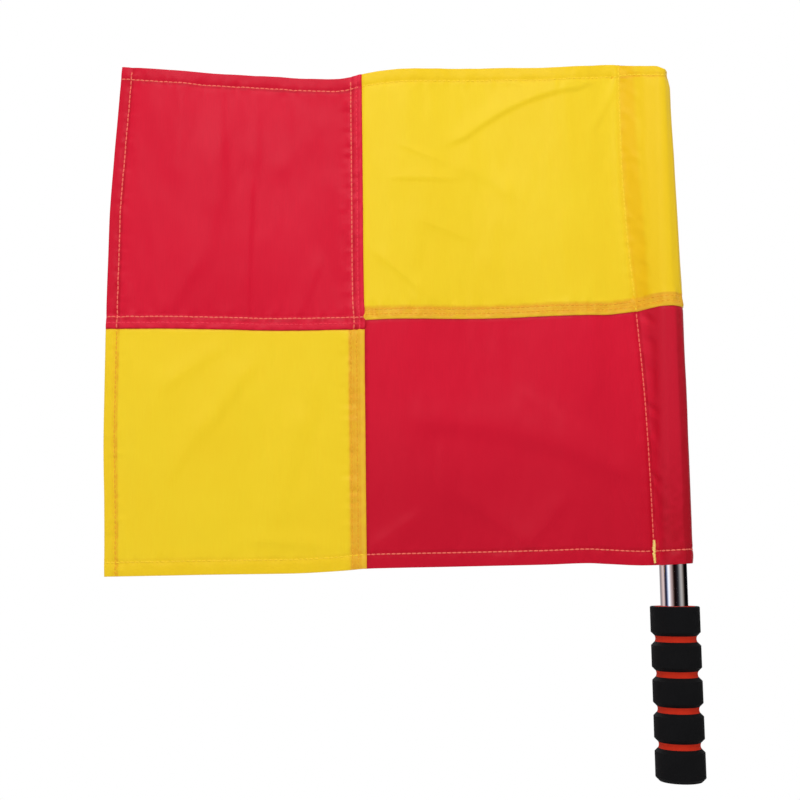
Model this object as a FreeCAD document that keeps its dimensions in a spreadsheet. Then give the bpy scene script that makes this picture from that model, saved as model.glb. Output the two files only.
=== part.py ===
import FreeCAD, Part
import math
import os
import Sketcher

# A quartered hand flag on a steel tube with a grooved foam grip.
# Millimetres. +Z runs up the tube, the flag flies towards -X, and its two faces look along Y.
# The origin is on the tube's axis, half way up the grip.

doc = FreeCAD.newDocument("signal_flag")
Vector = FreeCAD.Vector

# Driving dimensions

SIZES = (
    ("tube_diameter", 17.5, "outside of the steel tube"),
    ("tube_wall", 0.6, "wall of the steel tube"),
    ("tube_foot_inset", 7.0, "the tube's lower end above the foot of the grip"),
    ("tube_top_inset", 15.0, "the tube's upper end below the flag's upper corner at the pole"),
    ("plug_stem", 14.0, "length of a plug inside the tube"),
    ("plug_head", 2.2, "thickness of a plug's head"),
    ("grip_length", 107.0, "length of the foam grip"),
    ("grip_diameter", 31.0, "outside of the black foam"),
    ("core_diameter", 26.4, "outside of the orange foam, where the black foam is glued on"),
    ("groove_floor", 3.3, "orange foam left bare at the bottom of a groove"),
    ("grip_edge", 0.6, "small break on the upper rim of the grip"),
    ("hem_lift", 27.2, "bare tube between the grip and the flag's hem"),
    ("hoist_height", 333.2, "height of the flag at the pole"),
    ("fly_height", 347.0, "height of the flag at its free edge"),
    ("fly_drop", 8.3, "how far the free lower corner hangs below the corner at the pole"),
    ("flag_reach", 372.0, "tube's axis to the free edge, where that edge is fullest"),
    ("fly_top_set", 4.9, "how far the free upper corner stays short of that reach"),
    ("fly_bottom_set", 6.2, "how far the free lower corner stays short of that reach"),
    ("edge_wave", 6.0, "largest rise of the upper and lower edges"),
    ("upright_seam_top", 201.5, "tube's axis to the upright seam, at its top"),
    ("upright_seam_bottom", 197.0, "tube's axis to the upright seam, at its bottom"),
    ("cross_seam_fly", 161.8, "level seam above the free lower corner"),
    ("cross_seam_hoist", 159.5, "level seam above the hem, on the pole's side of the upright seam"),
    ("cross_seam_climb", 7.1, "rise of that level seam from there to the sleeve"),
    ("cloth_thickness", 0.3, "one layer of cloth"),
    ("hem_width", 9.0, "upper and lower hem"),
    ("fly_hem_width", 7.5, "hem of the free edge"),
    ("seam_width", 9.0, "felled seam"),
    ("sleeve_clearance", 0.4, "gap between the tube and the sleeve at the top"),
    ("sleeve_flare", 1.5, "how much wider the sleeve is at the bottom"),
    ("sleeve_shift", 0.8, "how far the flared sleeve stands off towards +X"),
    ("sleeve_stitch_reach", 26.0, "tube's axis to the sleeve's stitch, at the top"),
    ("sleeve_seam_width", 5.0, "turned edge of the cloth behind the sleeve's stitch"),
    ("overrun", 12.0, "how far cutting forms run past what they cut"),
)

# Counts and shares

LAYERS_IN_HEM = 3
RING_COUNT = 5
# Distance from one groove to the next, as a share of the grip's length
PITCH_SHARE = 0.2028

# Levels at which the sleeve's section is drawn, as shares of the height at the pole
LEVEL_SHARES = (-0.05, 0.12, 0.30, 0.49, 0.66, 0.85, 1.05)
# The sleeve's stitch comes nearer to the tube towards the hem, as shares of its reach at the top
STITCH_SHARES = (0.475, 0.505, 0.575, 0.73, 0.91, 1.0, 1.0)
# Flare of the sleeve at each level, as shares of the whole flare
FLARE_SHARES = (1.0, 1.0, 1.0, 0.9, 0.5, 0.0, 0.0)
# Where the cloth's waves cross its plane, as shares of the flag's reach
FOLD_SHARES = (0.24, 0.40, 0.56, 0.77)
# Depth of a wave, as a share of its own width
FOLD_DEPTH = 0.042

# Corners of the flag's edges: how far along, as shares of the way from the tube's axis to the
# upright seam, and how far up, as shares of the edge's wave
TOP_EDGE_SHARES = ((-0.047, 0.0), (0.055, 0.75), (0.164, 1.0), (0.369, 0.55), (0.744, 0.62))
BOTTOM_EDGE_SHARES = ((0.274, 0.10), (0.098, -0.20))
# The same for the level seam, with its height as shares of its own climb
CROSS_EDGE_SHARES = ((0.219, 0.42), (0.098, 0.75))
# Corners past the upright seam, as shares of the way from it to the free edge
FLY_TOP_SHARES = (0.091, -0.77)
FLY_BOTTOM_SHARES = (0.26, -1.07)
# Rise and dip of those edges where the upright seam meets them, as shares of the edge's wave
SEAM_TOP_SHARE = -0.05
SEAM_BOTTOM_SHARE = -0.53

sheet = doc.addObject("Spreadsheet::Sheet", "sizes")
for row, (alias, value, meaning) in enumerate(SIZES, start=1):
    sheet.set(f"A{row}", alias)
    sheet.set(f"B{row}", str(value))
    sheet.set(f"C{row}", meaning)
    sheet.setAlias(f"B{row}", alias)
doc.recompute()


def size(alias):
    """A driving dimension, read back from the sheet."""
    return float(sheet.get(alias))


# Round pieces: a half section, turned about the tube's axis

GRIP_TOP = "sizes.grip_length / 2"
GRIP_FOOT = "-sizes.grip_length / 2"
GRIP_RADIUS = "sizes.grip_diameter / 2"
CORE_RADIUS = "sizes.core_diameter / 2"
TUBE_RADIUS = "sizes.tube_diameter / 2"
TUBE_BORE = "sizes.tube_diameter / 2 - sizes.tube_wall"
TUBE_TOP = "sizes.grip_length / 2 + sizes.hem_lift + sizes.hoist_height - sizes.tube_top_inset"
TUBE_FOOT = "-sizes.grip_length / 2 + sizes.tube_foot_inset"

# Both walls of a groove lean at 45 degrees, so they rise as far as they go in
RING_WALL = "(sizes.grip_diameter - sizes.core_diameter) / 2"
FLOOR_HALF = "sizes.groove_floor / 2"
MOUTH_HALF = f"({FLOOR_HALF} + {RING_WALL})"


def lathe(label, section):
    """A body whose half section is given as pairs of radius and height, each an expression."""
    body = doc.addObject("PartDesign::Body", label)
    sketch = body.newObject("Sketcher::SketchObject", label + "_section")
    plane = next(item for item in body.Origin.OriginFeatures if item.Role == "XZ_Plane")
    sketch.AttachmentSupport = [(plane, "")]
    sketch.MapMode = "FlatFace"
    corners = []
    for radius, height in section:
        across = float(sheet.evalExpression(radius))
        up = float(sheet.evalExpression(height))
        corners.append(Vector(across, up, 0))
    count = len(corners)
    for index in range(count):
        sketch.addGeometry(Part.LineSegment(corners[index], corners[(index + 1) % count]), False)
    for index in range(count):
        sketch.addConstraint(Sketcher.Constraint("Coincident", index, 2, (index + 1) % count, 1))
    for index, (radius, height) in enumerate(section):
        corner = corners[index]
        if radius == "0":
            sketch.addConstraint(Sketcher.Constraint("PointOnObject", index, 1, -2))
        else:
            place = sketch.addConstraint(Sketcher.Constraint("DistanceX", -1, 1, index, 1, corner.x))
            sketch.setExpression(f"Constraints[{place}]", radius)
        place = sketch.addConstraint(Sketcher.Constraint("DistanceY", -1, 1, index, 1, corner.y))
        sketch.setExpression(f"Constraints[{place}]", height)
    turned = body.newObject("PartDesign::Revolution", label + "_turned")
    turned.Profile = sketch
    turned.ReferenceAxis = (sketch, ["V_Axis"])
    turned.Angle = 360
    body.Tip = turned
    body.Label = label
    doc.recompute()
    return body


def steel_tube():
    """The pole: a plain drawn tube, cut square at both ends."""
    section = (
        (TUBE_BORE, TUBE_FOOT),
        (TUBE_RADIUS, TUBE_FOOT),
        (TUBE_RADIUS, TUBE_TOP),
        (TUBE_BORE, TUBE_TOP),
    )
    return lathe("steel_tube", section)


def tube_plug(label, end, outward):
    """A moulded plug: a stem pushed into the tube, and a flat head against the tube's end."""
    stem_end = f"{end} - ({outward}) * sizes.plug_stem"
    head_end = f"{end} + ({outward}) * sizes.plug_head"
    section = (
        ("0", head_end),
        (TUBE_RADIUS, head_end),
        (TUBE_RADIUS, end),
        (TUBE_BORE, end),
        (TUBE_BORE, stem_end),
        ("0", stem_end),
    )
    return lathe(label, section)


def grip_core():
    """The orange foam tube, pushed over the steel; the black foam is glued round it."""
    section = (
        (TUBE_RADIUS, GRIP_FOOT),
        (CORE_RADIUS, GRIP_FOOT),
        (CORE_RADIUS, GRIP_TOP),
        (TUBE_RADIUS, GRIP_TOP),
    )
    return lathe("grip_core", section)


def groove_centre(number):
    """Height of a groove's middle, counted from the foot of the grip."""
    return f"{GRIP_FOOT} + {number} * {PITCH_SHARE} * sizes.grip_length"


def grip_ring(number):
    """One ring of the black foam layer, counted from the foot of the grip."""
    if number == 1:
        lower = [(CORE_RADIUS, GRIP_FOOT), (GRIP_RADIUS, f"{GRIP_FOOT} + {RING_WALL}")]
    else:
        lower = [
            (CORE_RADIUS, f"{groove_centre(number - 1)} + {FLOOR_HALF}"),
            (GRIP_RADIUS, f"{groove_centre(number - 1)} + {MOUTH_HALF}"),
        ]
    if number == RING_COUNT:
        upper = [
            (GRIP_RADIUS, f"{GRIP_TOP} - sizes.grip_edge"),
            (f"{GRIP_RADIUS} - sizes.grip_edge", GRIP_TOP),
            (CORE_RADIUS, GRIP_TOP),
        ]
    else:
        upper = [
            (GRIP_RADIUS, f"{groove_centre(number)} - {MOUTH_HALF}"),
            (CORE_RADIUS, f"{groove_centre(number)} - {FLOOR_HALF}"),
        ]
    return lathe(f"grip_ring_{number}", lower + upper)


# The cloth: wavy forms and the sleeve's tapered loop, then cut to the panels' outlines

LAYER = size("cloth_thickness")
HEM_STACK = LAYER * LAYERS_IN_HEM
HEM_HEIGHT = size("grip_length") / 2 + size("hem_lift")
HOIST_TOP = HEM_HEIGHT + size("hoist_height")
FLY_FOOT = HEM_HEIGHT - size("fly_drop")
FLY_TOP = FLY_FOOT + size("fly_height")
REACH = size("flag_reach")
WAVE = size("edge_wave")
OVERRUN = size("overrun")

LEVELS = [HEM_HEIGHT + share * size("hoist_height") for share in LEVEL_SHARES]
STITCHES = [share * size("sleeve_stitch_reach") for share in STITCH_SHARES]
# The cloth is flat from the sleeve's stitch to its first wave
FIRST_WAVE = size("sleeve_stitch_reach") + size("sleeve_seam_width")
# Slope at which the waves cross the flag's plane: an arc's half angle, from its depth
SLOPE = 2 * math.atan(2 * FOLD_DEPTH)


def crossing(place, slope, offset):
    """The end of a wave, moved off the cloth's middle line at right angles to it."""
    across, through = offset * math.sin(slope), offset * math.cos(slope)
    return Vector(across - place, through, FLY_FOOT - OVERRUN)


def cloth_waves(label, front, back):
    """The flat cloth between two offsets from its middle line, carried up past its edges.

    The waves are arcs, each tangent to the next, on alternate sides of the flag's plane.
    """
    places = [FIRST_WAVE] + [share * REACH for share in FOLD_SHARES] + [REACH + OVERRUN]

    def wave(index, offset):
        near, far = places[index], places[index + 1]
        side = 1 if index % 2 else -1
        slope = side * SLOPE
        depth = side * FOLD_DEPTH * (far - near)
        crown = Vector(-(near + far) / 2, depth + offset, FLY_FOOT - OVERRUN)
        return crossing(near, slope, offset), crown, crossing(far, -slope, offset)

    fronts = [wave(index, front) for index in range(len(places) - 1)]
    backs = [wave(index, back) for index in range(len(places) - 1)]
    edges = [Part.Arc(first, crown, last).toShape() for first, crown, last in fronts]
    edges.append(Part.LineSegment(fronts[-1][2], backs[-1][2]).toShape())
    edges += [Part.Arc(last, crown, first).toShape() for first, crown, last in reversed(backs)]
    edges.append(Part.LineSegment(backs[0][0], fronts[0][0]).toShape())
    section = doc.addObject("Part::Feature", label + "_section")
    section.Shape = Part.Face(Part.Wire(edges))
    form = doc.addObject("Part::Extrusion", label)
    form.Base = section
    form.DirMode = "Custom"
    form.Dir = Vector(0, 0, 1)
    form.setExpression("LengthFwd", "sizes.fly_height + 2 * sizes.overrun")
    form.Solid = True
    return form


def sleeve_loop(level, inset):
    """The sleeve's section, a drop shape: round the tube, then straight to the stitch.

    The inset is how far the wire lies outside the inner face of a single layer.
    """
    height = LEVELS[level]
    shift = size("sleeve_shift") * FLARE_SHARES[level]
    inner = size("tube_diameter") / 2 + size("sleeve_clearance")
    inner += size("sleeve_flare") * FLARE_SHARES[level]
    half_angle = math.asin(inner / (STITCHES[level] + shift))
    radius = inner + inset
    tip = Vector(shift - radius / math.sin(half_angle), 0, height)
    back = Vector(shift - radius * math.sin(half_angle), radius * math.cos(half_angle), height)
    front = Vector(back.x, -back.y, height)
    nose = Vector(shift + radius, 0, height)
    sweep = (math.pi / 2 + half_angle) / 2
    back_mid = Vector(shift + radius * math.cos(sweep), radius * math.sin(sweep), height)
    front_mid = Vector(back_mid.x, -back_mid.y, height)
    edges = [
        Part.LineSegment(tip, front).toShape(),
        Part.Arc(front, front_mid, nose).toShape(),
        Part.Arc(nose, back_mid, back).toShape(),
        Part.LineSegment(back, tip).toShape(),
    ]
    return Part.Wire(edges)


def sleeve_outside(level):
    """The sleeve's outer face."""
    return sleeve_loop(level, LAYER)


def sleeve_hem_inside(level):
    """The sleeve's inner face where hems and seams are turned into it."""
    return sleeve_loop(level, LAYER - HEM_STACK)


def sleeve_inside(level):
    """The sleeve's inner face where it is one layer."""
    return sleeve_loop(level, 0)


def strip_section(level, near, front, back):
    """A flat strip's section, from a distance from the tube's axis to just past the first wave."""
    far = FIRST_WAVE + LAYER
    height = LEVELS[level]
    corners = [
        Vector(-near, front, height),
        Vector(-near, back, height),
        Vector(-far, back, height),
        Vector(-far, front, height),
    ]
    return Part.makePolygon(corners + corners[:1])


def seam_strip(level):
    """The flat layers behind the sleeve's stitch, from the tip of the drop to the first wave."""
    return strip_section(level, STITCHES[level] + LAYER, -LAYER / 2, HEM_STACK - LAYER / 2)


def strip_relief(level):
    """The space behind a single layer, from the turned edge at the stitch to the first wave."""
    near = STITCHES[level] + size("sleeve_seam_width")
    return strip_section(level, near - LAYER, LAYER / 2, OVERRUN)


def loft(label, wire_at):
    """A solid through the wires of all levels, straight from one level to the next."""
    sections = []
    for level in range(len(LEVELS)):
        wire = doc.addObject("Part::Feature", f"{label}_level_{level}")
        wire.Shape = wire_at(level)
        sections.append(wire)
    form = doc.addObject("Part::Loft", label)
    form.Sections = sections
    form.Solid = True
    form.Ruled = True
    return form


def pair(kind, label, base, tool):
    """A boolean of two forms."""
    form = doc.addObject(kind, label)
    form.Base = base
    form.Tool = tool
    return form


def slab(label, corners, arc_from=None):
    """An outline in the flag's plane, carried through the cloth from front to back.

    The corners are pairs of place and height. The outline runs as an arc from the corner
    numbered arc_from, through the next one, to the one after.
    """
    points = [Vector(place, 0, height) for place, height in corners]
    count = len(points)
    edges = []
    index = 0
    while index < count:
        follower = points[(index + 1) % count]
        if index == arc_from:
            end = points[(index + 2) % count]
            edges.append(Part.Arc(points[index], follower, end).toShape())
            index += 2
        else:
            edges.append(Part.LineSegment(points[index], follower).toShape())
            index += 1
    face = doc.addObject("Part::Feature", label + "_outline")
    face.Shape = Part.Face(Part.Wire(edges))
    form = doc.addObject("Part::Extrusion", label)
    form.Base = face
    form.DirMode = "Custom"
    form.Dir = Vector(0, 1, 0)
    form.setExpression("LengthFwd", "sizes.grip_diameter")
    form.setExpression("LengthRev", "sizes.grip_diameter")
    form.Solid = True
    return form


def seam_place(height):
    """The upright seam at a height."""
    share = (height - HEM_HEIGHT) / size("hoist_height")
    bottom, top = size("upright_seam_bottom"), size("upright_seam_top")
    return -(bottom + share * (top - bottom)), height


def hoist_corners(shares, height, climb):
    """Corners between the tube's axis and the upright seam."""
    seam = seam_place(height)[0]
    return [(along * seam, height + rise * climb) for along, rise in shares]


def fly_corner(shares, height):
    """A corner between the upright seam and the free edge."""
    seam = seam_place(height)[0]
    return seam - shares[0] * (REACH + seam), height + shares[1] * WAVE


FLY_CORNER_TOP = (size("fly_top_set") - REACH, FLY_TOP)
FLY_CORNER_FOOT = (size("fly_bottom_set") - REACH, FLY_FOOT)
FLY_DIP_TOP = fly_corner(FLY_TOP_SHARES, HOIST_TOP)
FLY_DIP_FOOT = fly_corner(FLY_BOTTOM_SHARES, HEM_HEIGHT)
CROSS_FLY = FLY_FOOT + size("cross_seam_fly")
CROSS_HOIST = HEM_HEIGHT + size("cross_seam_hoist")
SEAM_TOP = seam_place(HOIST_TOP + SEAM_TOP_SHARE * WAVE)
SEAM_FOOT = seam_place(HEM_HEIGHT + SEAM_BOTTOM_SHARE * WAVE)
TOP_EDGE = hoist_corners(TOP_EDGE_SHARES, HOIST_TOP, WAVE)
BOTTOM_EDGE = hoist_corners(BOTTOM_EDGE_SHARES, HEM_HEIGHT, WAVE)
PAST_SLEEVE = size("tube_diameter") / 2 + OVERRUN
CLIMB = size("cross_seam_climb")
CROSS_EDGE = [seam_place(CROSS_HOIST)]
CROSS_EDGE += hoist_corners(CROSS_EDGE_SHARES, CROSS_HOIST, CLIMB)
CROSS_EDGE.append((PAST_SLEEVE, CROSS_HOIST + CLIMB))


def fly_edge_at(height):
    """The free edge at a height: a shallow arc through its two corners and its fullest point."""
    middle = (FLY_CORNER_TOP[1] + FLY_CORNER_FOOT[1]) / 2
    arc = Part.Arc(
        Vector(FLY_CORNER_FOOT[0], FLY_CORNER_FOOT[1], 0),
        Vector(-REACH, middle, 0),
        Vector(FLY_CORNER_TOP[0], FLY_CORNER_TOP[1], 0),
    )
    circle = arc.toShape().Curve
    rise = height - circle.Center.y
    return circle.Center.x - math.sqrt(circle.Radius**2 - rise**2), height


def inset(corners, shifts):
    """The corners of an outline, each moved inwards by its own hem or seam."""
    return [(place + across, height + up) for (place, height), (across, up) in zip(corners, shifts)]


def fly_top_outline():
    """Upper panel at the free edge: hemmed at the top and the side, felled to both neighbours."""
    fly_hem, hem, seam = size("fly_hem_width"), size("hem_width"), size("seam_width")
    corners = [
        fly_edge_at(CROSS_FLY),
        fly_edge_at((CROSS_FLY + FLY_TOP) / 2),
        FLY_CORNER_TOP,
        FLY_DIP_TOP,
        SEAM_TOP,
        seam_place(CROSS_FLY),
    ]
    shifts = [(fly_hem, seam), (fly_hem, 0), (fly_hem, -hem), (0, -hem), (-seam, -hem), (-seam, seam)]
    return corners, inset(corners, shifts)


def fly_bottom_outline():
    """Lower panel at the free edge: the upper panel carries the felled seam between them."""
    fly_hem, hem, seam = size("fly_hem_width"), size("hem_width"), size("seam_width")
    corners = [
        FLY_CORNER_FOOT,
        fly_edge_at((FLY_FOOT + CROSS_FLY) / 2),
        fly_edge_at(CROSS_FLY),
        seam_place(CROSS_FLY),
        SEAM_FOOT,
        FLY_DIP_FOOT,
    ]
    past = (fly_hem, OVERRUN)
    shifts = [(fly_hem, hem), (fly_hem, 0), past, (-seam, OVERRUN), (-seam, hem), (0, hem)]
    return corners, inset(corners, shifts)


def hoist_top_outline():
    """Upper panel at the pole, with the upper half of the sleeve."""
    hem, seam = size("hem_width"), size("seam_width")
    corners = CROSS_EDGE + [(PAST_SLEEVE, HOIST_TOP)] + TOP_EDGE + [SEAM_TOP]
    shifts = [(-OVERRUN, seam)] + [(0, seam)] * (len(CROSS_EDGE) - 1)
    shifts += [(0, -hem)] * (len(TOP_EDGE) + 1) + [(-OVERRUN, -hem)]
    return corners, inset(corners, shifts)


def hoist_bottom_outline():
    """Lower panel at the pole, with the lower half of the sleeve."""
    hem = size("hem_width")
    corners = [SEAM_FOOT] + BOTTOM_EDGE + [(PAST_SLEEVE, HEM_HEIGHT)] + CROSS_EDGE[::-1]
    shifts = [(-OVERRUN, hem)] + [(0, hem)] * (len(BOTTOM_EDGE) + 1)
    shifts += [(0, OVERRUN)] * (len(CROSS_EDGE) - 1) + [(-OVERRUN, OVERRUN)]
    return corners, inset(corners, shifts)


def panel(label, cloth, relief, outlines, arc_from=None):
    """A panel: the hem-thick cloth inside the outline, thinned to one layer between its hems."""
    corners, window = outlines
    blank = pair("Part::Common", f"{label}_blank", cloth, slab(f"{label}_cut", corners, arc_from))
    layer = pair("Part::Common", f"{label}_relief", relief, slab(f"{label}_window", window, arc_from))
    return pair("Part::Cut", label, blank, layer)


def flag():
    """The four panels, from the flat cloth's waves and the sleeve's drop-shaped loop."""
    stack = cloth_waves("cloth_stack", -LAYER / 2, HEM_STACK - LAYER / 2)
    relief = cloth_waves("cloth_relief", LAYER / 2, OVERRUN)
    loop = doc.addObject("Part::MultiFuse", "cloth_with_loop")
    loop.Shapes = [stack, loft("seam_strip", seam_strip), loft("sleeve_outside", sleeve_outside)]
    cloth = pair("Part::Cut", "cloth_with_sleeve", loop, loft("sleeve_hem_inside", sleeve_hem_inside))
    reliefs = doc.addObject("Part::MultiFuse", "relief_with_sleeve")
    reliefs.Shapes = [relief, loft("strip_relief", strip_relief), loft("sleeve_inside", sleeve_inside)]
    return [
        panel("fly_top_panel", stack, relief, fly_top_outline(), 0),
        panel("fly_bottom_panel", stack, relief, fly_bottom_outline(), 0),
        panel("hoist_top_panel", cloth, reliefs, hoist_top_outline()),
        panel("hoist_bottom_panel", cloth, reliefs, hoist_bottom_outline()),
    ]


# The assembly

pieces = [
    steel_tube(),
    tube_plug("top_plug", TUBE_TOP, 1),
    tube_plug("bottom_plug", TUBE_FOOT, -1),
    grip_core(),
]
pieces += [grip_ring(number) for number in range(1, RING_COUNT + 1)]
pieces += flag()
doc.recompute()

for item in doc.Objects:
    if "Invalid" in item.State or "Error" in item.State:
        raise RuntimeError(f"{item.Label} failed: {item.State}")
for piece in pieces:
    shape = piece.Shape
    if shape.isNull() or not shape.isValid() or len(shape.Solids) != 1:
        raise RuntimeError(f"{piece.Label} is not one valid solid")

os.makedirs("parts", exist_ok=True)
for piece in pieces:
    piece.Shape.exportStep(f"parts/{piece.Label}.step")
    box = piece.Shape.optimalBoundingBox(False)
    spans = " ".join(f"{low:.1f}..{high:.1f}" for low, high in (
        (box.XMin, box.XMax), (box.YMin, box.YMax), (box.ZMin, box.ZMax)))
    print(f"{piece.Label}: {piece.Shape.Volume:.0f} mm3, {spans}")
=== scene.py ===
import math

import bpy
import numpy as np
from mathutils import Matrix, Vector


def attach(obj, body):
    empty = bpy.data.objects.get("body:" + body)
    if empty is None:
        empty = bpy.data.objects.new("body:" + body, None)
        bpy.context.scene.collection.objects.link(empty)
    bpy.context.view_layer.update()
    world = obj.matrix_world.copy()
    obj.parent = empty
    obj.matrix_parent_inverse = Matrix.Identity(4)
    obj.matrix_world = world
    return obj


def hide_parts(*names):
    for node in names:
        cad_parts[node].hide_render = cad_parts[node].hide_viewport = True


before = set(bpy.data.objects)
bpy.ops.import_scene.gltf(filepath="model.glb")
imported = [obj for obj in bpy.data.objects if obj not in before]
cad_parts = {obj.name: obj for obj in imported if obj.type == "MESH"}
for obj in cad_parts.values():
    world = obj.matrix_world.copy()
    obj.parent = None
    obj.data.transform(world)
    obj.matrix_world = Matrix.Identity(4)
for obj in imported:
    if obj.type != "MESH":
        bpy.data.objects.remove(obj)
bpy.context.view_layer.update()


# The camera stands in front of the flag's free half, below its middle, and looks a little upwards.
# Its place and lens are those that the flag's corners and the grip's rings give.
CAMERA_PLACE = (-0.16625, -0.722, 0.0775)
CAMERA_LENS = 50
CAMERA_LOOKS_UP = 8.6
CAMERA_LOOKS_LEFT = 0.7


def set_in_scene(name, data):
    """A new object with that mesh, lamp or camera, placed in the scene."""
    thing = bpy.data.objects.new(name, data)
    bpy.context.scene.collection.objects.link(thing)
    return thing


camera_data = bpy.data.cameras.new("photo_camera")
camera_data.lens = CAMERA_LENS
camera_data.sensor_width = 36
camera = set_in_scene("photo_camera", camera_data)
camera.location = CAMERA_PLACE
camera.rotation_euler = (math.radians(90 + CAMERA_LOOKS_UP), 0, math.radians(CAMERA_LOOKS_LEFT))
bpy.context.scene.camera = camera
bpy.context.scene.view_settings.view_transform = "Standard"


# The room is white for the camera, and soft grey as a light on the cloth.
# The pale floor lies well below the flag, which is held up in the air, and fades into the white.
ROOM_LIGHT = 0.5
WHITE = (1, 1, 1, 1)
FLOOR_COLOUR = (0.86, 0.86, 0.86, 1)
FLOOR_LEVEL = -0.42
FLOOR_RADIUS = 1.5
FLOOR_SIDES = 96
FLOOR_FADE_START = 0.5
FLOOR_FADE_END = 1.45
FLOOR_LEAST_WHITE = 0.3
FLOOR_ROUGHNESS = 0.9


def emptied(owner):
    """The shader tree of a world or a material, with nothing in it yet."""
    owner.use_nodes = True
    owner.node_tree.nodes.clear()
    return owner.node_tree


def node_in(tree, kind, fed=None, **traits):
    """A shader node in a tree. fed gives its inputs, each one a plain value or a socket to link."""
    node = tree.nodes.new("ShaderNode" + kind)
    for trait, value in traits.items():
        setattr(node, trait, value)
    for socket, value in (fed or {}).items():
        if isinstance(value, bpy.types.NodeSocket):
            tree.links.new(value, node.inputs[socket])
        else:
            node.inputs[socket].default_value = value
    return node


def maths(tree, operation, first, second=0.5):
    """One step of arithmetic on a number or socket, or on two of them."""
    return node_in(tree, "Math", {0: first, 1: second}, operation=operation).outputs[0]


def ranged(tree, value, start, end, from_value, to_value, **traits):
    """A value that runs from start to end, made to run from from_value to to_value."""
    fed = {"Value": value, "From Min": start, "From Max": end, "To Min": from_value, "To Max": to_value}
    return node_in(tree, "MapRange", fed, **traits).outputs["Result"]


def place_on(tree):
    """The place on the piece itself, in metres."""
    return node_in(tree, "TexCoord").outputs["Object"]


world = bpy.data.worlds.new("white_room")
bpy.context.scene.world = world
room = emptied(world)
rays = node_in(room, "LightPath").outputs
seen = maths(room, "MAXIMUM", rays["Is Camera Ray"], rays["Is Glossy Ray"])
seen = maths(room, "MAXIMUM", seen, rays["Is Transmission Ray"])
soft_light = node_in(room, "Background", {"Color": WHITE, "Strength": ROOM_LIGHT})
white_wall = node_in(room, "Background", {"Color": WHITE, "Strength": 1})
walls = node_in(room, "MixShader", {"Fac": seen, 1: soft_light.outputs[0], 2: white_wall.outputs[0]})
node_in(room, "OutputWorld", {"Surface": walls.outputs[0]})

floor_mesh = bpy.data.meshes.new("studio_floor")
floor_rim = []
for side in range(FLOOR_SIDES):
    turn = math.tau * side / FLOOR_SIDES
    floor_rim.append((FLOOR_RADIUS * math.cos(turn), FLOOR_RADIUS * math.sin(turn), FLOOR_LEVEL))
floor_mesh.from_pydata(floor_rim, [], [list(range(FLOOR_SIDES))])
floor = set_in_scene("studio_floor", floor_mesh)
floor_paint = bpy.data.materials.new("pale_floor")
tree = emptied(floor_paint)
from_middle = node_in(tree, "VectorMath", {0: place_on(tree)}, operation="LENGTH").outputs["Value"]
fade = ranged(
    tree,
    from_middle,
    FLOOR_FADE_START,
    FLOOR_FADE_END,
    FLOOR_LEAST_WHITE,
    1,
    interpolation_type="SMOOTHSTEP",
)
white_share = maths(tree, "MULTIPLY", fade, node_in(tree, "LightPath").outputs["Is Camera Ray"])
matt = node_in(tree, "BsdfPrincipled", {"Base Color": FLOOR_COLOUR, "Roughness": FLOOR_ROUGHNESS})
glow = node_in(tree, "Emission", {"Strength": 1})
blend = node_in(tree, "MixShader", {"Fac": white_share, 1: matt.outputs[0], 2: glow.outputs[0]})
node_in(tree, "OutputMaterial", {"Surface": blend.outputs[0]})
floor_mesh.materials.append(floor_paint)


# Soft boxes: the main one stands high in front, a weaker one to the right, and one behind,
# so that the back of the flag isn't dark when the part is looked at from there.
FLAG_MIDDLE = (-0.18, 0, 0.24)
ABOVE_MIDDLE = (-0.18, 0, 0.3)


def soft_box(name, place, aim, side, watts):
    """A square soft lamp that stands at a place and looks at another."""
    lamp_data = bpy.data.lights.new(name, "AREA")
    lamp_data.shape = "SQUARE"
    lamp_data.size = side
    lamp_data.energy = watts
    lamp = set_in_scene(name, lamp_data)
    lamp.location = place
    lamp.rotation_euler = (Vector(aim) - Vector(place)).to_track_quat("-Z", "Y").to_euler()


soft_box("main_box", (-0.4, -1.35, 1.35), ABOVE_MIDDLE, side=0.8, watts=17)
soft_box("side_box", (0.9, -1.2, 0.9), FLAG_MIDDLE, side=0.9, watts=2)
soft_box("back_box", (-0.4, 1.4, 1.1), FLAG_MIDDLE, side=0.9, watts=13)


# Studio cards round the bright tube: only mirrored rays meet them, so they draw the dark and
# grey bands that run up the steel, and leave the soft light on the cloth as it is.
CARD_DISTANCE = 1.3
CARD_LOW = -0.6
CARD_HIGH = 0.6
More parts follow.
